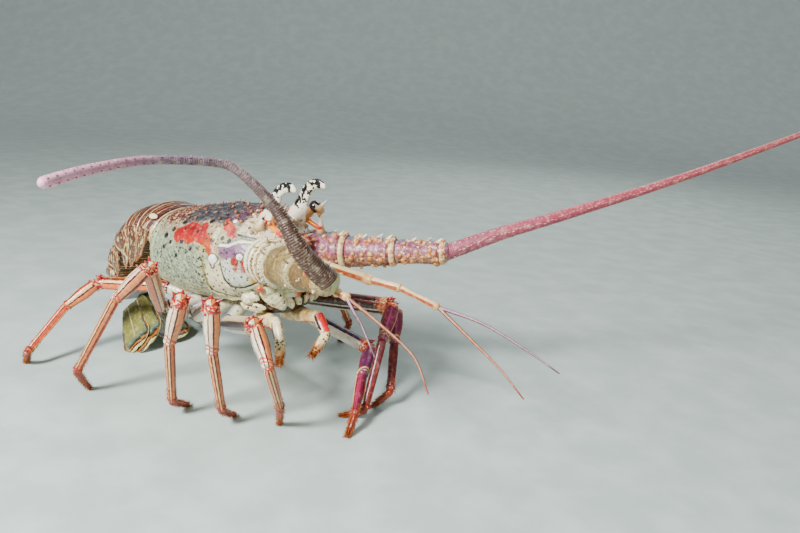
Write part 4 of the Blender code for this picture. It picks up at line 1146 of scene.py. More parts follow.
def stalk_knobs(path, radii, sign, seed):
    """Round nodules in a crown round each collar and in a loose row along the outer side of each joint."""
    p = np.asarray(path, float)
    draw = np.random.default_rng(seed)
    nodules = []
    for i in range(3):
        rows = [(0.93, angle + draw.normal(0, 5), draw.uniform(1.1, 1.9)) for angle in range(-80, 250, 22)]
        rows += [(t, draw.uniform(110, 250), draw.uniform(0.9, 2.0)) for t in draw.uniform(0.08, 0.86, 22)]
        rows += [(t, draw.uniform(-70, 110), draw.uniform(0.5, 1.2)) for t in draw.uniform(0.08, 0.86, 12)]
        for t, angle, size in rows:
            middle, d, out, radius = stalk_place(p, radii, i, t, angle, sign)
            nodules.append((middle + out * radius * 0.96, out + d * 0.2, size))
    return knobs(*zip(*nodules), 0.95)


def near_stalk_finish():
    """Cream with brown freckles between pale bows on the upper outer side, plain green-white beneath, and
    olive-brown on the two smaller joints, partly their own colour and partly painted shade."""
    f, at, t, around = fresh_finish("near_stalk_finish", 0.34, 0.25)
    cloud = f.waver(at, 0.3, 3.0)
    fine = f.waver(at, 0.9, 2.0)
    upper = f.ramp((around + cloud * 0.1 - 0.28).cycle(), 0.26, 0.34)
    freckle = f.ramp(f.cells(at, 0.55) + fine * 0.2, 0.46, 0.38)
    place_on = t + fine * 0.03
    # from 0.333 on, the olive-brown of the two smaller joints is partly their own colour and partly painted
    # shade where the whip's shadow and the underside's shade fall
    skin = f.bands(place_on / 3, [(0, "e9e6d6"), (0.052, "3a2418"), (0.058, "cfc4a0"), (0.125, "ece6cc"),
                                  (0.147, "c9bb94"), (0.207, "ece6cc"), (0.228, "bfae88"), (0.3, "e4dcc0"),
                                  (0.333, "8c7c5c"), (0.47, "a4936e"), (0.6, "c8ba98"), (0.667, "7a664a"),
                                  (0.86, "8a7452"), (0.94, "b8a684")])
    bows = f.stripes(place_on, (0.41, 0.03, 0.01), (0.65, 0.03, 0.01))
    arcs = bows.most(f.ramp(place_on, 0.16, 0.14))
    base = f.layers(skin, (freckle * (1.0 - arcs) * f.ramp(t, 1.0, 0.96) * 0.9, "5a3a22"),
                    (freckle * f.ramp(t, 1.0, 1.04) * 0.5, "5f4c30"))
    base = f.mix((1.0 - upper) * 0.92, base, "bcc4a2")
    dots = f.dots(at, 0.4, 0.2, 0.12)
    base = f.layers(base, (dots * upper * f.band(t.cycle(), 0.95, 0.05, 0.02), "2c1c14"),
                    (f.band(t.cycle(), 0.86, 0.02, 0.015) * 0.6, "7a4a30"))
    return f.done(f.wear(base, at, 0.5, 0.22), f.noise(at, 1.4, 4.0) - freckle * 0.4, 0.45, 0.4,
                  0.28 + f.noise(at, 0.9) * 0.18)


def far_stalk_finish():
    """Pinkish purple above with a blue-grey ridge, mottled cream and brown on the outer and under sides."""
    f, at, t, around = fresh_finish("far_stalk_finish", 0.34, 0.25)
    cloud = f.waver(at, 0.3, 3.0)
    grit = f.noise(at, 0.42, 3.0)
    turn = (around + cloud * 0.16).cycle()
    top = f.band(turn, 0.8, 0.19, 0.05)
    base = f.layers("94665a", (f.ramp(grit, 0.47, 0.56), "c8a486"), (f.ramp(grit, 0.57, 0.63), "6c342a"),
                    (top, "8a5562"), (top * f.ramp(grit, 0.5, 0.6), "b08490"),
                    (f.band(turn, 0.74, 0.06, 0.04) * 0.9, "6a6c7a"))
    rim = f.band(t.cycle(), 0.93, 0.04, 0.02)
    blots = f.dots(at, 0.2, 0.2, 0.14)
    base = f.layers(base, (rim * 0.85, "ead9ae"), (f.band(t.cycle(), 0.85, 0.025, 0.015) * 0.8, "6a2c26"),
                    (blots * top, "dc7430"), (blots * (1.0 - top) * 0.8, "5c2a22"))
    rough = 0.28 + f.noise(at, 0.9) * 0.18
    return f.done(f.wear(base, at, 0.5, 0.25), f.noise(at, 1.4, 4.0), 0.5, 0.5, rough)


def condyles():
    """The bright knobs where the stalks' joints hinge: small balls, with radius the cosine and place along
    a way the sine of one angle."""
    t = np.radians(np.linspace(-86, 86, 14))
    skins = []
    for middle, r in (((51, -29, 73), 2.0), ((98.5, -43.1, 95.3), 1.5), ((50, 29, 73), 2.0),
                      ((98.5, 45, 95.3), 1.5)):
        path = np.array(middle) + np.array([0.5, -0.6, 0.2]) * r * np.sin(t)[:, None]
        skins.append(wrap(rings(path, r * np.cos(t), r * np.cos(t), (0, 0, 1), 20)))
    return join(skins)


def whip_skin(points, radii, blunt, seed, margin=0.0):
    """A ringed whip with small prickles: radius rises like a saw's tooth along each ring."""
    coarse = spline(points, 1201)
    step = np.concatenate([[0], np.cumsum(np.linalg.norm(np.diff(coarse, axis=0), axis=1))])
    total = step[-1] - margin
    count = int(total / RING * 5)
    s = np.linspace(0, total, count)
    path = np.stack([np.interp(s, step, coarse[:, k]) for k in range(3)], -1)
    stations = np.interp(s, step, np.linspace(0, len(points) - 1, 1201))
    r = np.interp(stations, range(len(points)), radii)
    ring = (s / RING) % 1
    r = r * (0.96 + 0.07 * ring ** 1.5)
    if blunt:
        dome = np.sqrt(np.clip(1 - ((s - total + 3) / 3.05) ** 2, 0.05, 1))
        r = r * np.where(s > total - 3, dome, 1)
    draw = np.random.default_rng(seed)
    along = unit(np.gradient(path, axis=0))
    side = unit(WHIP_SIDE - along * (along @ WHIP_SIDE)[:, None])
    lift = np.cross(along, side)
    picks = np.arange(12, count - 10, 10)
    prickles = []
    for angle in (20, 75, 140, 200, 255, 320):
        i = picks + int(draw.integers(0, 8))
        i = i[i < count - 6]
        a = np.radians(angle + draw.normal(0, 9, len(i)))
        out = side[i] * np.cos(a)[:, None] + lift[i] * np.sin(a)[:, None]
        size = (0.35 + 0.26 * r[i]) * draw.uniform(0.7, 1.3, len(i))
        prickles.append((path[i] + out * r[i, None] * 0.9, out + along[i] * 1.1, size, 0.12 + 0.1 * r[i]))
    roots, ways, lengths, thick = [np.concatenate(values) for values in zip(*prickles)]
    thorns = spikes(roots, ways, lengths, thick, sides=4, levels=(0, 0.5), colour=np.full(len(roots), -1.0))
    return join([wrap(rings(path, r, r, WHIP_SIDE, 20), s), thorns])


def whip_finish(name, stops, length, ring_tone, spine_code):
    """A ringed whip whose colour changes along it, with dark dots every fourth ring beyond its root."""
    f, at, s, around = fresh_finish(name, 0.5, 0.05)
    cloud = f.waver(at, 0.1, 3.0)
    base = f.bands((s + cloud * 20) / length, stops, True)
    base = f.mix(f.clouds(at, 0.5, 0.5, 0.68) * ring_tone, base, "c7a392")
    ring = (s / RING).cycle()
    base = f.layers(base, (f.ramp(ring, 0.75, 1.0) * ring_tone, "e9cfc6"),
                    (f.ramp(ring, 0.2, 0.0) * ring_tone, "3d2028"))
    dots = f.band((s / (4 * RING)).cycle(), 0.5, 0.09, 0.05) * f.band((around * 5).cycle(), 0.5, 0.1, 0.06)
    base = f.layers(base, (dots * f.ramp(s, length * 0.38, length * 0.48) * 0.85, "1b1013"),
                    (around < -0.5, spine_code))
    return f.done(f.wear(base, at, 0.25, 0.25), f.noise(at, 1.5, 3.0), 0.3, 0.2)


def limb_grid(a, b, start, middle, end, side, flat=1.0, sunk=0.0, n=40, m=44, ridge=0.0):
    """A leg or feeler joint from a to b: radius eased between root, middle and end, with a groove before
    a flared cuff, and ridges at four angles round it."""
    a, b = np.asarray(a, float), np.asarray(b, float)
    d = unit(b - a)
    a = a - d * sunk
    t = np.linspace(0, 1, m)
    r = ease(t, [0, 0.06, 0.4, 0.88, 0.94, 1.0],
             [start * 0.72, start * 0.98, middle, end * 0.97, end * 1.06, end * 0.74])
    path = a + (b - a) * t[:, None]
    grid = rings(path, r, r * flat, side, n)
    angle = np.arange(n) * 2 * math.pi / n
    height = ridge * np.cos(4 * angle)[None] * ease(t, [0, 0.15, 0.85, 1], [0, 1, 1, 0])[:, None]
    height = height - 0.28 * bump(t - 0.90, 0.018)[:, None]
    return raised(grid, height), t


# Stripes round a leg by the share of a turn where each starts, for the thigh, the shin and the shank
STRIPED = {
    "thigh": [(0, "8a3a28"), (0.05, "3a1a24"), (0.08, "d88a5c"), (0.2, "3a1a24"), (0.23, "efe0bc"),
              (0.38, "3a1a24"), (0.41, "4a4468"), (0.52, "2a1620"), (0.54, "e8e2d2"), (0.74, "3a1a24"),
              (0.77, "d8835a"), (0.9, "3a1a24"), (0.93, "e8c49a")],
    "shin": [(0, "a8432a"), (0.045, "3a1420"), (0.08, "dc9a72"), (0.225, "2c0e18"), (0.26, "f0d0b8"),
             (0.335, "321020"), (0.36, "f2e6d0"), (0.45, "5a4a5c"), (0.475, "d8d4cc"), (0.54, "3a1420"),
             (0.57, "efdcb8"), (0.67, "3a1420"), (0.7, "d88e64"), (0.86, "3a1420"), (0.9, "ecc8a0")],
    "shank": [(0, "c4562a"), (0.06, "48101a"), (0.1, "d48a60"), (0.2, "48101a"), (0.245, "efc898"),
              (0.29, "48101a"), (0.34, "dc9670"), (0.42, "48101a"), (0.45, "ecd0a8"), (0.52, "48101a"),
              (0.56, "c46c44"), (0.68, "48101a"), (0.72, "e8b080"), (0.8, "cc5a2c"), (0.92, "48101a"),
              (0.96, "e8b080")],
}

# Stripes of the crimson first leg on the left; on the shin the lighter purple band from 0.42 to 0.5 is a
# painted highlight
FIRST = {
    "thigh": [(0, "4a1828"), (0.22, "d88a50"), (0.25, "3c3a60"), (0.55, "24203a"), (0.575, "e4e0d4"),
              (0.9, "3a1426"), (0.93, "4a1828")],
    "shin": [(0, "42141f"), (0.2, "d8783c"), (0.235, "3c1428"), (0.27, "5a2c50"), (0.42, "774268"),
             (0.5, "5c2a4e"), (0.64, "702844"), (0.7, "341018"), (0.72, "e4c490"), (0.76, "42141f")],
    "shank": [(0, "42141f"), (0.19, "341018"), (0.21, "d0703c"), (0.33, "341018"), (0.36, "74223e"),
              (0.5, "943458"), (0.62, "782440"), (0.68, "e8c898"), (0.72, "341018"), (0.75, "4c1626")],
}

# Stripes of the two darker front legs; on the shin the light purple band from 0.42 to 0.46 is a painted
# highlight
FRONT = {
    "thigh": [(0, "34101a"), (0.3, "44141e"), (0.345, "b8747c"), (0.385, "44141e"), (0.6, "280c14"),
              (0.68, "30202a"), (0.71, "ddd8c6"), (0.86, "30202a"), (0.9, "34101a")],
    "shin": [(0, "3c121e"), (0.22, "d8783c"), (0.255, "4a1628"), (0.3, "7c3450"), (0.42, "9a5478"),
             (0.46, "6e2440"), (0.62, "4c1628"), (0.72, "d8905c"), (0.745, "3c121e")],
    "shank": [(0, "340e16"), (0.2, "d07c44"), (0.25, "340e16"), (0.28, "6a1c28"), (0.5, "541624"),
              (0.66, "42101c"), (0.73, "d08450"), (0.76, "340e16")],
}


def leg_is_front(name):
    """Whether a leg is one of the three dark ones in front on the left."""
    return name in ("leg_left_1", "leg_left_2", "leg_left_3")


def leg_plan(name, path):
    """Every joint of a leg as (part, from, to, start, middle, end, flatness, sunk, offset of its pattern)."""
    hip, mid, knee, wrist, ankle, tip = [np.asarray(q, float) for q in path]
    big = 1.12 if name == "leg_right_1" else 1.0 if leg_is_front(name) else 0.96
    shank = 1.18 if name == "leg_left_1" else 1.0
    d = unit(wrist - knee)
    return [("upper", hip, mid, 4.3, 4.5, 4.1, 1.05, 1.0, 0),
            ("upper", mid, knee, 3.8 * big, 4.3 * big, 4.3 * big, 1.12, 2.0, 1),
            ("lower", knee + d * 0.6, wrist, 4.0, 4.4, 3.4, 1.05, 0.8, 2),
            ("lower", wrist, ankle, 2.9 * shank, 2.7 * shank, 2.4, 1.0, 1.5, 3),
            ("lower", ankle, tip, 2.2, 1.8, 1.0, 1.0, 1.2, 4)]


def leg_finish(name, stripes, knee, bow, toe="8e3c18"):
    """Long stripes by the angle round the limb, each span of it with its own, a bright knee, bows at the
    wrist and a hip of its own."""
    f, at, t, around = fresh_finish(name, 0.3, 0.35)
    thigh, shin, shank = stripes.values()
    fine = f.waver(f.drawn(at, (1, 1, 3)), 0.6)
    inside = t.cycle()
    turn = (around + fine * 0.03).cycle()
    gap = (1 - JOINT_SPAN) / 2
    base = f.mix(t > 2 - gap, f.bands(turn, thigh), f.bands(turn, shin))
    base = f.mix(t > 3 - gap, base, f.bands(turn, shank))
    base = f.mix(f.clouds(at, 0.4, 0.5, 0.7) * 0.3, base, knee)
    bent = inside - (around - 0.4).size() * 0.35
    wrist = f.stripes(bent, (0.78, 0.02, 0.01), (0.86, 0.012, 0.01)) * f.band(t, 2.5, 0.5, 0.01)
    cuff = f.ramp(inside + fine * 0.1, 0.86, 0.92) * f.band(t, 1.5, 0.49, 0.01)
    root = f.ramp(inside + fine * 0.1, 0.15, 0.08) * f.band(t, 2.5, 0.5, 0.02)
    bright = cuff.most(root)
    base = f.layers(base, (wrist * 0.85, bow), (bright, knee),
                    (bright * f.clouds(at, 0.7, 0.52, 0.58, 2.0), "ecc9a0"),
                    (f.ramp(t, 3.85, 4.05), toe))
    hip = f.ramp(t, 0.99, 0.97)
    spots = f.dots(at, 0.36, 0.22, 0.15)
    rim = f.stripes(inside, (0.8, 0.02, 0.01), (0.93, 0.02, 0.01))
    base = f.layers(base, (hip, "d6d2bc"), (hip * f.band(around, 0.4, 0.08, 0.03) * 0.7, "8d86a0"),
                    (hip * spots, "4a4438"), (hip * rim, "3a2230"),
                    (hip * f.ramp(inside, 0.93, 0.96), "b84a2c"))
    rough = 0.24 + f.noise(at, 0.8) * 0.16
    return f.done(f.wear(base, at, 0.45, 0.2), f.noise(at, 1.3, 3.0), 0.35, 0.25, rough)


def leg_side(path):
    """The way square to the plane in which the leg bends at its knee."""
    mid, knee, ankle = [np.asarray(path[i], float) for i in (1, 2, 4)]
    return unit(np.cross(knee - mid, ankle - knee))


def leg_skins(name, path):
    """The two nodes of a leg, each of joined tubes whose radius eases between the joint's stations."""
    side = leg_side(path)
    halves = {"upper": [], "lower": []}
    for part, a, b, start, middle, end, flat, sunk, order in leg_plan(name, path):
        grid, t = limb_grid(a, b, start, middle, end, side, flat, sunk, ridge=0.16 if order else 0.0)
        grid = raised(grid, 0.07 * grain(grid, 3, 60 + order))
        grid[..., 2] = np.maximum(grid[..., 2], LEG_GAP)
        halves[part].append(wrap(grid, t * JOINT_SPAN + order))
    return {part: join(skins) for part, skins in halves.items()}


def knee_spines(path):
    """Bright spines round the ends of the thigh, the hip and the shank, and on the shin's root."""
    hip, mid, knee, wrist, ankle = np.asarray(path[:5], float)
    side = leg_side(path)
    thorns = []
    for a, b, radius, big in ((mid, knee, 4.2, 1.0), (hip, mid, 4.3, 0.5), (wrist, ankle, 2.5, 0.35)):
        d = unit(b - a)
        up = unit(np.cross(side, d))
        up = up * np.sign(up[2] + 1e-6)
        for angle in range(-60, 250, 28):
            out = round_way(side, up, angle)
            strong = 1.0 if angle in (80, 24, 136) else 0.45
            thorns.append((b - d * 2.4 + out * radius * 0.92, out + d, 4.2 * strong * big,
                           0.5 + 0.75 * strong * big))
    d = unit(wrist - knee)
    up = unit(np.cross(side, d))
    for angle in (30, 90, 150, 210, 330):
        out = round_way(side, up, angle)
        thorns.append((knee + d * 3.4 + out * 3.7, out - d * 0.15, 2.3, 0.85))
    return spikes(*zip(*thorns), sides=7)


def foot_hairs(path, seed):
    """Brushes of stiff hair round the toe and the end of the shank, in rows that point down the toe."""
    wrist, ankle, tip = np.asarray(path[3:], float)
    draw = np.random.default_rng(seed)
    tufts = []
    for a, b, radius, count, start in ((ankle, tip, 1.9, 300, 0.0), (wrist, ankle, 2.4, 90, 0.72)):
        d = unit(b - a)
        side = unit(np.cross(d, (0.3, 0.5, 0.2)))
        up = np.cross(side, d)
        t = draw.uniform(start, 0.98, count)
        ang = np.round(draw.uniform(0, 8, count)) / 8 * 2 * math.pi + draw.normal(0, 0.12, count)
        out = side * np.cos(ang)[:, None] + up * np.sin(ang)[:, None]
        root = a + (b - a) * t[:, None] + out * radius * 0.85 * (1 - 0.35 * t * (start == 0))[:, None]
        tufts.append((root, out * draw.uniform(0.7, 1.2, count)[:, None] + d * 0.9,
                      draw.uniform(1.4, 2.9, count), d * draw.uniform(0.1, 0.5, count)[:, None]))
    roots, ways, lengths, bends = [np.concatenate(values) for values in zip(*tufts)]
    skin = spikes(roots, ways, lengths, 0.16, bends, 3, (0, 0.5))
    skin.verts[:, 2] = np.maximum(skin.verts[:, 2], HAIR_GAP)
    return skin


def hair_finish():
    """Rust-brown hairs of many tones with paler ends."""
    f = Finish("hair_finish", rough=0.6)
    tall, tone = f.surface()
    base = f.layers("7a3a1c", (tone, "c07a3c"), (f.ramp(tall, 0.5, 1.0) * 0.5, "d9a566"))
    return f.done(base)


def build_legs():
    """Striped legs, the crimson first leg of the left side, its two darker neighbours, spines and hairs."""
    coats = {"leg_left_1": leg_finish("first_leg_finish", FIRST, "b8402c", "ecd0a0")}
    dark = leg_finish("front_leg_finish", FRONT, "c86a50", "e8c09a")
    striped = leg_finish("striped_leg_finish", STRIPED, "941f14", "a8402c")
    red = spine_finish("knee_spine_finish", "86180f", "a42416", "e4a888")
    hair = hair_finish()
    for order, (name, path) in enumerate(LEGS.items()):
        coat = coats.get(name, dark if leg_is_front(name) else striped)
        slot = "front_legs" if leg_is_front(name) else "striped_legs"
        for part, skin in leg_skins(name, path).items():
            piece("%s_%s_shell" % (name, part), skin, coat, ["%s_%s" % (name, part)])
        piece(name + "_spines", knee_spines(path), red)
        piece(name + "_hairs", foot_hairs(path, 80 + order), hair)


def antennule_skin(path):
    """A small feeler's stalk: three tubes whose radius eases between stations, each sunk in the last."""
    p = np.asarray(path, float)
    side = unit(np.cross(p[3] - p[0], (0, 0, 1)))
    skins = []
    for i in range(3):
        first, last = ANTENNULE_RADII[i:i + 2]
        grid, t = limb_grid(p[i], p[i + 1] + unit(p[i + 1] - p[i]) * 0.6, first * 0.9, last * 0.92,
                            last * 1.12, side, sunk=0.8 * (i > 0), n=30, m=36)
        skins.append(wrap(grid, t * JOINT_SPAN + i))
    return join(skins)


def fine_whip_skin(points):
    """A fine tapering whip: circles whose radius falls evenly and rises like a saw's tooth 80 times."""
    path = spline(points, 240)
    path[0] = path[1] * 0.35 + path[0] * 0.65
    t = np.linspace(0, 1, 240)
    r = (1.15 + (0.42 - 1.15) * t) * (0.93 + 0.1 * ((t * 80) % 1))
    return wrap(rings(path, r, r, (0, 0, 1), 12), t)


def antennule_finish(name, base_code, stripe_code, cuff_code):
    """Three stripes along each joint and a cuff at its end."""
    f, at, t, around = fresh_finish(name, 0.4, 0.15)
    lane = (around * 3).cycle()
    base = f.mix(f.band(lane, 0.5, 0.24, 0.06) * 0.9, base_code, stripe_code)
    base = f.mix(f.ramp(t.cycle(), 0.84, 0.93), base, cuff_code)
    return f.done(f.wear(base, at, 0.5, 0.25), f.noise(at, 1.6), 0.25, 0.15)


def jaw_leg_skin(path):
    """A leg of the mouth: three flattened tubes whose radius eases between the joint's stations."""
    p = np.asarray(path, float)
    side = unit(np.cross(p[1] - p[0], p[3] - p[1]))
    plan = ((0, 1, 3.6, 4.2, 3.4, 1.1, 0.0), (1, 2, 3.1, 3.3, 3.0, 1.1, 1.5), (2, 3, 3.0, 2.9, 1.0, 1.0, 1.5))
    skins = []
    for i, j, start, middle, end, flat, sunk in plan:
        grid, t = limb_grid(p[i], p[j], start, middle, end, side, flat, sunk, ridge=0.15)
        skins.append(wrap(grid, t * JOINT_SPAN + i))
    return join(skins)


def jaw_leg_hairs(path, seed):
    """Golden fringes: all round the last joint, and under the long first one."""
    p = np.asarray(path, float)
    draw = np.random.default_rng(seed)
    tufts = []
    for a, b, radius, count, low in ((p[2], p[3], 2.4, 420, 0.15), (p[0], p[1], 3.4, 320, 0.35)):
        d = unit(b - a)
        side = unit(np.cross(d, (0.2, 0.9, 0.3)))
        up = np.cross(side, d)
        t = draw.uniform(low, 1.0, count)
        ang = draw.uniform(0, 2 * math.pi, count) if radius < 3 else draw.normal(-1.5, 0.5, count)
        out = side * np.cos(ang)[:, None] + up * np.sin(ang)[:, None]
        if radius > 3:
            out = unit(out * 0.6 + np.array((0, 0, -1.0)))
        root = a + (b - a) * t[:, None] + out * radius * 0.8 * (1 - 0.4 * t * (radius < 3))[:, None]
        tufts.append((root, out + d * 0.6, d * draw.uniform(0.1, 0.5, count)[:, None]))
    roots, ways, bends = [np.concatenate(values) for values in zip(*tufts)]
    return spikes(roots, ways, draw.uniform(1.4, 3.0, len(roots)), 0.15, bends, 3, (0, 0.5))


def jaw_leg_finish(name, patch_code, patch_at):
    """Cream with tan clouds, a dark line, round dark spots on the middle joint and one patch."""
    f, at, t, around = fresh_finish(name, 0.34, 0.3)
    fine = f.waver(at, 0.6, 2.0)
    spots = f.dots(at, 0.5, 0.4, 0.33, 0.9)
    base = f.layers("ece0b8", (f.clouds(at, 0.3, 0.42, 0.58) * 0.8 * f.ramp(t, 1.0, 0.8), "c08c4c"),
                    (f.band(around, 0.5, 0.035, 0.02) * f.band(t, 1.4, 0.35, 0.05), "1d1712"),
                    (f.ramp(t + fine * 0.3, 2.3, 2.6) * 0.8, "c48c40"))
    patch = f.band(t + fine * 0.2, patch_at, 0.42, 0.08) * f.band(around, 0.34, 0.1, 0.04)
    base = f.layers(base, (spots * f.ramp(t, 0.95, 1.1) * f.ramp(t, 2.6, 2.4) * 0.95, "15110d"),
                    (patch, patch_code))
    return f.done(f.wear(base, at, 0.6, 0.2), f.noise(at, 1.4), 0.3, 0.2)


def mouth_skin():
    """The dark brown hollow of the mouth, partly the mouthparts' own colour and partly painted shade under
    the jaws: ovals along the line of the jaws.
    """
    line = [(26, 0, -24), (34, 0, -26), (44, 0, -26.5), (50, 0, -24.5), (54, 0, -22)]
    path = spline(place(line), 50)
    t = np.linspace(0, 1, 50)
    grid = rings(path, np.interp(t * 4, range(5), [14, 19, 20, 15, 7]),
                 np.interp(t * 4, range(5), [5, 7, 7.5, 6, 3]), (0, 1, 0), 60)
    return wrap(raised(grid, 0.6 * grain(grid, 3.4, 91) - 0.3), t)


def mouth_lobe_skin():
    """White jaw plates, teeth and cheek knobs: flat ovals along short bowed lines on each side, with widths
    that swell and close again."""
    plates = (([(48, 27, -15.2), (50, 22, -18.5), (52, 17, -23), (53, 13.6, -28.5)], 5.2, 3.0),
              ([(51, 18, -17.5), (53, 15.5, -19.5), (54, 12.8, -22)], 3.2, 2.2),
              ([(53, 12.0, -20.5), (54, 9.6, -25), (54, 7.8, -29)], 2.7, 2.0),
              ([(54, 5.6, -21.5), (55, 3.6, -24.5), (55, 2.0, -28)], 2.3, 1.8),
              ([(33, 27.8, -19), (37, 28, -20.5), (41, 26.6, -22.5)], 3.8, 2.4),
              ([(39, 28, -17), (42, 27.5, -18.5), (45, 26, -21)], 2.6, 2.0),
              ([(38, 25.5, -24), (42, 24.5, -25.5), (46, 22, -27)], 2.2, 1.8),
              ([(30, 27, -24), (36, 26, -26.5), (43, 22, -29)], 1.9, 1.6))
    skins = []
    t = np.linspace(0, 1, 44)
    full = np.sin(math.pi * (0.03 + 0.94 * t)) ** 0.6
    for side in (1, -1):
        out = np.array((0.75, 0.6 * side, -0.3))
        for order, (line, wide, deep) in enumerate(plates):
            path = spline(place(mirrored(line, side)), 44)
            across = np.cross(path[-1] - path[0], out)
            grid = rings(path, wide * full, deep * full, unit(across), 36, 2.6)
            skins.append(wrap(raised(grid, 0.3 * grain(grid, 3.0, 20 + order) - 0.1), t))
    return join(skins)


def palp_skin():
    """Two white palps that taper inwards over the jaws: circles along a bowed line."""
    skins = []
    t = np.linspace(0, 1, 40)
    for side in (1, -1):
        line = [(46, 25, -15.5), (51, 17, -18), (55, 8, -20), (57, 2.5, -21)]
        path = spline(place(mirrored(line, side)), 40)
        r = np.interp(t, [0, 0.05, 0.33, 0.66, 0.95, 1], [1.2, 2.6, 2.4, 2.0, 1.1, 0.3])
        skins.append(wrap(rings(path, r, r * 0.95, (0, 0, 1), 24), t))
    return join(skins)


def epistome_skin():
    """The bar over the mouth: ovals along a bow, with a low keel, narrowing to its ends."""
    ys = np.linspace(-1, 1, 90)
    path = place(np.stack([53.5 - 4.5 * ys * ys, 25 * ys, -15 - 0.3 * ys * ys], -1))
    r = 4.6 * np.sqrt(1 - 0.7 * ys ** 2)
    grid = rings(path, r * 1.15, r, (1, 0, 0), 48)
    angle = oval(48)[2]
    height = 0.35 * bump(np.cos(angle - 0.6) - 1, 0.12)[None] + 0.15 * grain(grid, 3, 90) - 0.1
    return wrap(raised(grid, height), ys)


def pale_finish(name, base_code, second, mark_code, scale, amount):
    """A base clouded with a second colour and strewn with round specks."""
    f = Finish(name, rough=0.34, coat=0.3)
    at = f.where()
    specks = f.dots(at, scale, 0.24, 0.16)
    base = f.layers(base_code, (f.clouds(at, 0.3, 0.47, 0.6) * 0.8, second),
                    (f.clouds(at, 0.16, 0.58, 0.66, 2.0) * 0.3, "b8835c"),
                    (specks * amount, mark_code))
    return f.done(f.wear(base, at, 0.5, 0.2), f.noise(at, 1.2, 3.0), 0.35, 0.3)


def brow_plate_skin():
    """The plate between the feelers: ovals along a short path, broad behind, with small spines."""
    pts = spline(place([(44, 0, 9), (50, 0, 11), (57, 0, 11), (62, 0, 9)]), 40)
    t = np.linspace(0, 1, 40)
    wide = ease(t, [0, 0.33, 0.66, 0.93, 1], [7, 7.6, 6.2, 4.0, 1.6])
    high = ease(t, [0, 0.33, 0.66, 0.93, 1], [4, 4, 3.2, 2.0, 0.8])
    grid = raised(rings(pts, wide, high, (0, 1, 0), 44, 2.3), 0.1)
    thorns = [(place((x, y * side, 13.6)), (0.8, 0.12 * y * side, 0.6), length, 1.1)
              for x, y, length in ((59, 3.4, 4.5), (53, 4.4, 4.5), (48, 2, 2.6)) for side in (1, -1)]
    return join([wrap(grid, t), spikes(*zip(*thorns), (0.15, 0, 0), 8)])


def build_stalks():
    """The two thick feelers' stalks with their spines, knobs and hinges, and the two whips."""
    white = spine_finish("near_stalk_spine_finish", "b8a082", "ede2c6", "c8502c")
    golden = spine_finish("far_stalk_spine_finish", "d8b48c", "f4ecd8", "f8f2e4")
    for word, path, radii, sign, shell, thorny in (
            ("right", STALK_RIGHT, STALK_RIGHT_RADII, -1, near_stalk_finish(), white),
            ("left", STALK_LEFT, STALK_LEFT_RADII, 1, far_stalk_finish(), golden)):
        piece("antenna_stalk_" + word, stalk_skin(path, radii, 30 + sign), shell,
              ["antenna_base_" + word])
        piece("antenna_stalk_spines_" + word, stalk_spines(path, radii, sign, 50 + sign), thorny)
    nodules = pale_finish("stalk_knob_finish", "c08a5c", "e8cfa4", "8a3a20", 0.5, 0.8)
    piece("antenna_stalk_knobs", stalk_knobs(STALK_LEFT, STALK_LEFT_RADII, 1, 55), nodules)
    piece("stalk_condyles", condyles(), orbit_finish())
    # the near whip's dark brown root, up to about 0.36 of its length, is partly its own colour and partly
    # painted shade of its shaded side
    near_stops = [(0, "4c3828"), (0.24, "46332a"), (0.36, "685a5c"), (0.6, "80707c"), (0.75, "b48a9a"),
                  (1, "e4b4c6")]
    far_stops = [(0, "98586a"), (0.15, "a04c60"), (0.5, "a85a62"), (1, "8c4446")]
    for word, skin, finish, lengths in (
            ("right", whip_skin(WHIP_RIGHT, WHIP_RIGHT_RADII, True, 61),
             whip_finish("near_whip_finish", near_stops, 180, 0.06, "a08478"), 4),
            ("left", whip_skin(WHIP_LEFT, WHIP_LEFT_RADII, False, 62, 0.5),
             whip_finish("far_whip_finish", far_stops, 500, 0.2, "d8ac98"), 3)):
        nodes = ["antenna_%s_%d" % (word, k + 1) for k in range(lengths)]
        piece("whip_" + word, skin, finish, nodes)


def build_antennules():
    """The two small feelers, each with a stalk and two fine whips."""
    stem = antennule_finish("antennule_stalk_finish", "a45a3c", "eedcb4", "dcb488")
    orange = antennule_finish("orange_whip_finish", "84423a", "c49a82", "985040")
    grey = antennule_finish("grey_whip_finish", "6a4a60", "b9a0a4", "7a5868")
    for word, path, fines in (("right", ANTENNULE_RIGHT, FINE_RIGHT), ("left", ANTENNULE_LEFT, FINE_LEFT)):
        piece("antennule_stalk_" + word, antennule_skin(path), stem, ["antennule_" + word])
        for k, (points, finish) in enumerate(zip(fines, (grey, orange))):
            piece("antennule_%s_fine_%d" % (word, k + 1), fine_whip_skin(points), finish,
                  ["antennule_%s_whip_%d" % (word, k + 1)])
    plate = pale_finish("brow_plate_finish", "a8705c", "c99a80", "4a2a24", 0.4, 0.7)
    piece("brow_plate", brow_plate_skin(), plate, ["antennular_plate"])


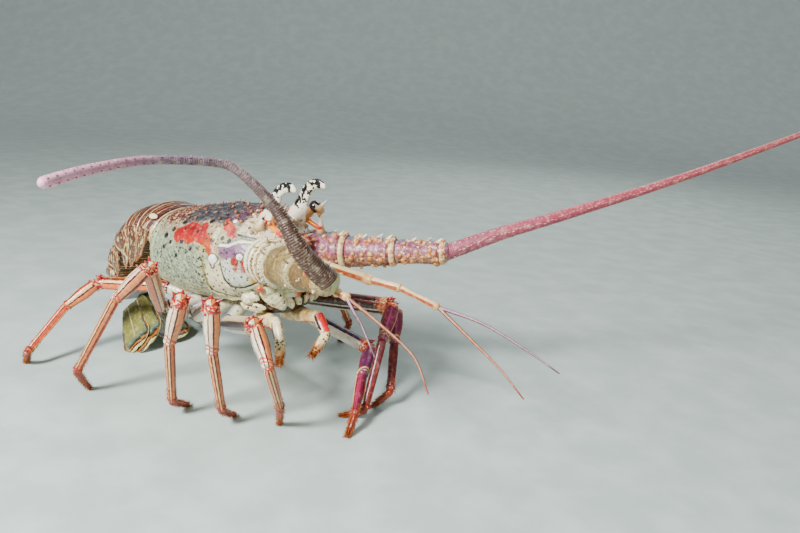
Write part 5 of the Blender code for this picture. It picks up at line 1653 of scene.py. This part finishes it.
def build_mouth():
    """The bar, hollow, plates and palps of the mouth, its two legs with their hairs, and the breastplate."""
    for name, skin, finish, nodes in (
            ("mouth_bar", epistome_skin(),
             pale_finish("mouth_bar_finish", "d4d4b4", "a4aa84", "5a5a46", 0.3, 0.5), ["epistome"]),
            # the hollow's dark brown is partly the mouthparts' own colour and partly painted shade under the
            # jaws
            ("mouth_hollow", mouth_skin(),
             pale_finish("mouth_hollow_shade_finish", "3c2818", "58401f", "1c110b", 0.4, 0.6), ["mouthparts"]),
            ("mouth_lobes", mouth_lobe_skin(),
             pale_finish("mouth_lobe_finish", "efe9cf", "cdbf92", "14110e", 0.26, 0.98), []),
            ("mouth_palps", palp_skin(), spine_finish("palp_finish", "e8e4d4", "f4f0e2", "d07a34"), [])):
        piece(name, skin, finish, nodes)
    hair = hair_finish()
    for word, path, code, patch_at, seed in (("right", JAW_LEG_RIGHT, "e8dcc0", 1.4, 71),
                                             ("left", JAW_LEG_LEFT, "c8301a", 1.5, 72)):
        coat = jaw_leg_finish("jaw_leg_%s_finish" % word, code, patch_at)
        piece("jaw_leg_" + word, jaw_leg_skin(path), coat, ["maxilliped_" + word])
        piece("jaw_leg_hairs_" + word, jaw_leg_hairs(path, seed), hair)
    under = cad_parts["sternum"]
    under.data.materials.clear()
    under.data.materials.append(pale_finish("sternum_finish", "d6cfae", "c0bb98", "4c463a", 0.3, 0.8))


def floor_mesh():
    """A flat floor that bends up in a quarter circle far behind: one profile carried across the view."""
    bow = np.radians(np.linspace(0, 90, 40))
    run = np.concatenate([[-4.0, 0.0, 1.0], 1.4 + 1.1 * np.sin(bow), [2.5]])
    rise = np.concatenate([np.zeros(3), 1.1 - 1.1 * np.cos(bow), [4.0]])
    ahead = np.array((math.cos(CAMERA_YAW), math.sin(CAMERA_YAW), 0))
    across = np.array((-ahead[1], ahead[0], 0))
    line = run[:, None] * ahead + rise[:, None] * np.array((0, 0, 1))
    points = np.concatenate([line + across * 6, line - across * 6])
    n = len(line)
    faces = [(i, i + 1, n + i + 1, n + i) for i in range(n - 1)]
    mesh = bpy.data.meshes.new("floor")
    mesh.from_pydata(points.tolist(), [], faces)
    mesh.polygons.foreach_set("use_smooth", [True] * len(faces))
    return mesh


def stage():
    """A pale floor that bends up behind and glows more with distance as painted light, a key from the front
    left, a fill and a rim light.
    """
    mesh = floor_mesh()
    floor = bpy.data.objects.new("floor", mesh)
    f = Finish("floor_finish", rough=0.9)
    at = f.where(1.0)
    far = f.node("ShaderNodeVectorMath", {"operation": "LENGTH"}, {0: at}, 1)
    near = f.mix(f.clouds(at, 30.0, 0.35, 0.7, 5.0), "b6c1bd", "c4cdc9")
    # painted light: the floor glows more from 0.5 m out to 2.4 m, brightening the far floor and the rise
    # behind where the lamps' light falls off
    f.shader.inputs["Emission Strength"].default_value = 1.0
    f.put(f.shader.inputs["Emission Color"], f.mix(f.ramp(far, 0.5, 2.4), "000000", (0.13, 0.145, 0.145, 1)))
    mesh.materials.append(f.done(near))
    bpy.context.scene.collection.objects.link(floor)
    for name, at, size, power in LAMPS:
        lamp = bpy.data.lights.new(name, "AREA")
        lamp.size = size
        lamp.energy = power
        obj = bpy.data.objects.new(name, lamp)
        obj.matrix_world = aim(np.array(at), unit(LIT - np.array(at)))
        bpy.context.scene.collection.objects.link(obj)
    world = bpy.data.worlds.new("sky")
    world.use_nodes = True
    world.node_tree.nodes["Background"].inputs["Color"].default_value = (0.62, 0.66, 0.68, 1)
    world.node_tree.nodes["Background"].inputs["Strength"].default_value = 0.26
    bpy.context.scene.world = world


def aim(at, way, roll=0.0):
    """A matrix that looks along a way, level and then rolled anticlockwise."""
    right = unit(np.cross(way, (0, 0, 1)))
    up = np.cross(right, way)
    c, s = math.cos(roll), math.sin(roll)
    right, up = right * c + up * s, up * c - right * s
    m = np.eye(4)
    m[:3, 0], m[:3, 1], m[:3, 2], m[:3, 3] = right, up, -way, at
    return Matrix(m.tolist())


def camera():
    """The camera that the photo was fitted to."""
    lens = bpy.data.cameras.new("camera")
    lens.lens = CAMERA_LENS
    lens.sensor_width = 36.0
    lens.sensor_fit = "HORIZONTAL"
    lens.clip_start = 0.01
    obj = bpy.data.objects.new("camera", lens)
    level = math.cos(CAMERA_PITCH)
    way = np.array([math.cos(CAMERA_YAW) * level, math.sin(CAMERA_YAW) * level, math.sin(CAMERA_PITCH)])
    obj.matrix_world = aim(row(CAMERA_AT), way, CAMERA_ROLL)
    bpy.context.scene.collection.objects.link(obj)
    bpy.context.scene.camera = obj


camera()
stage()
build_shell()
build_tail()
build_legs()
build_stalks()
build_antennules()
build_mouth()

bpy.context.view_layer.update()
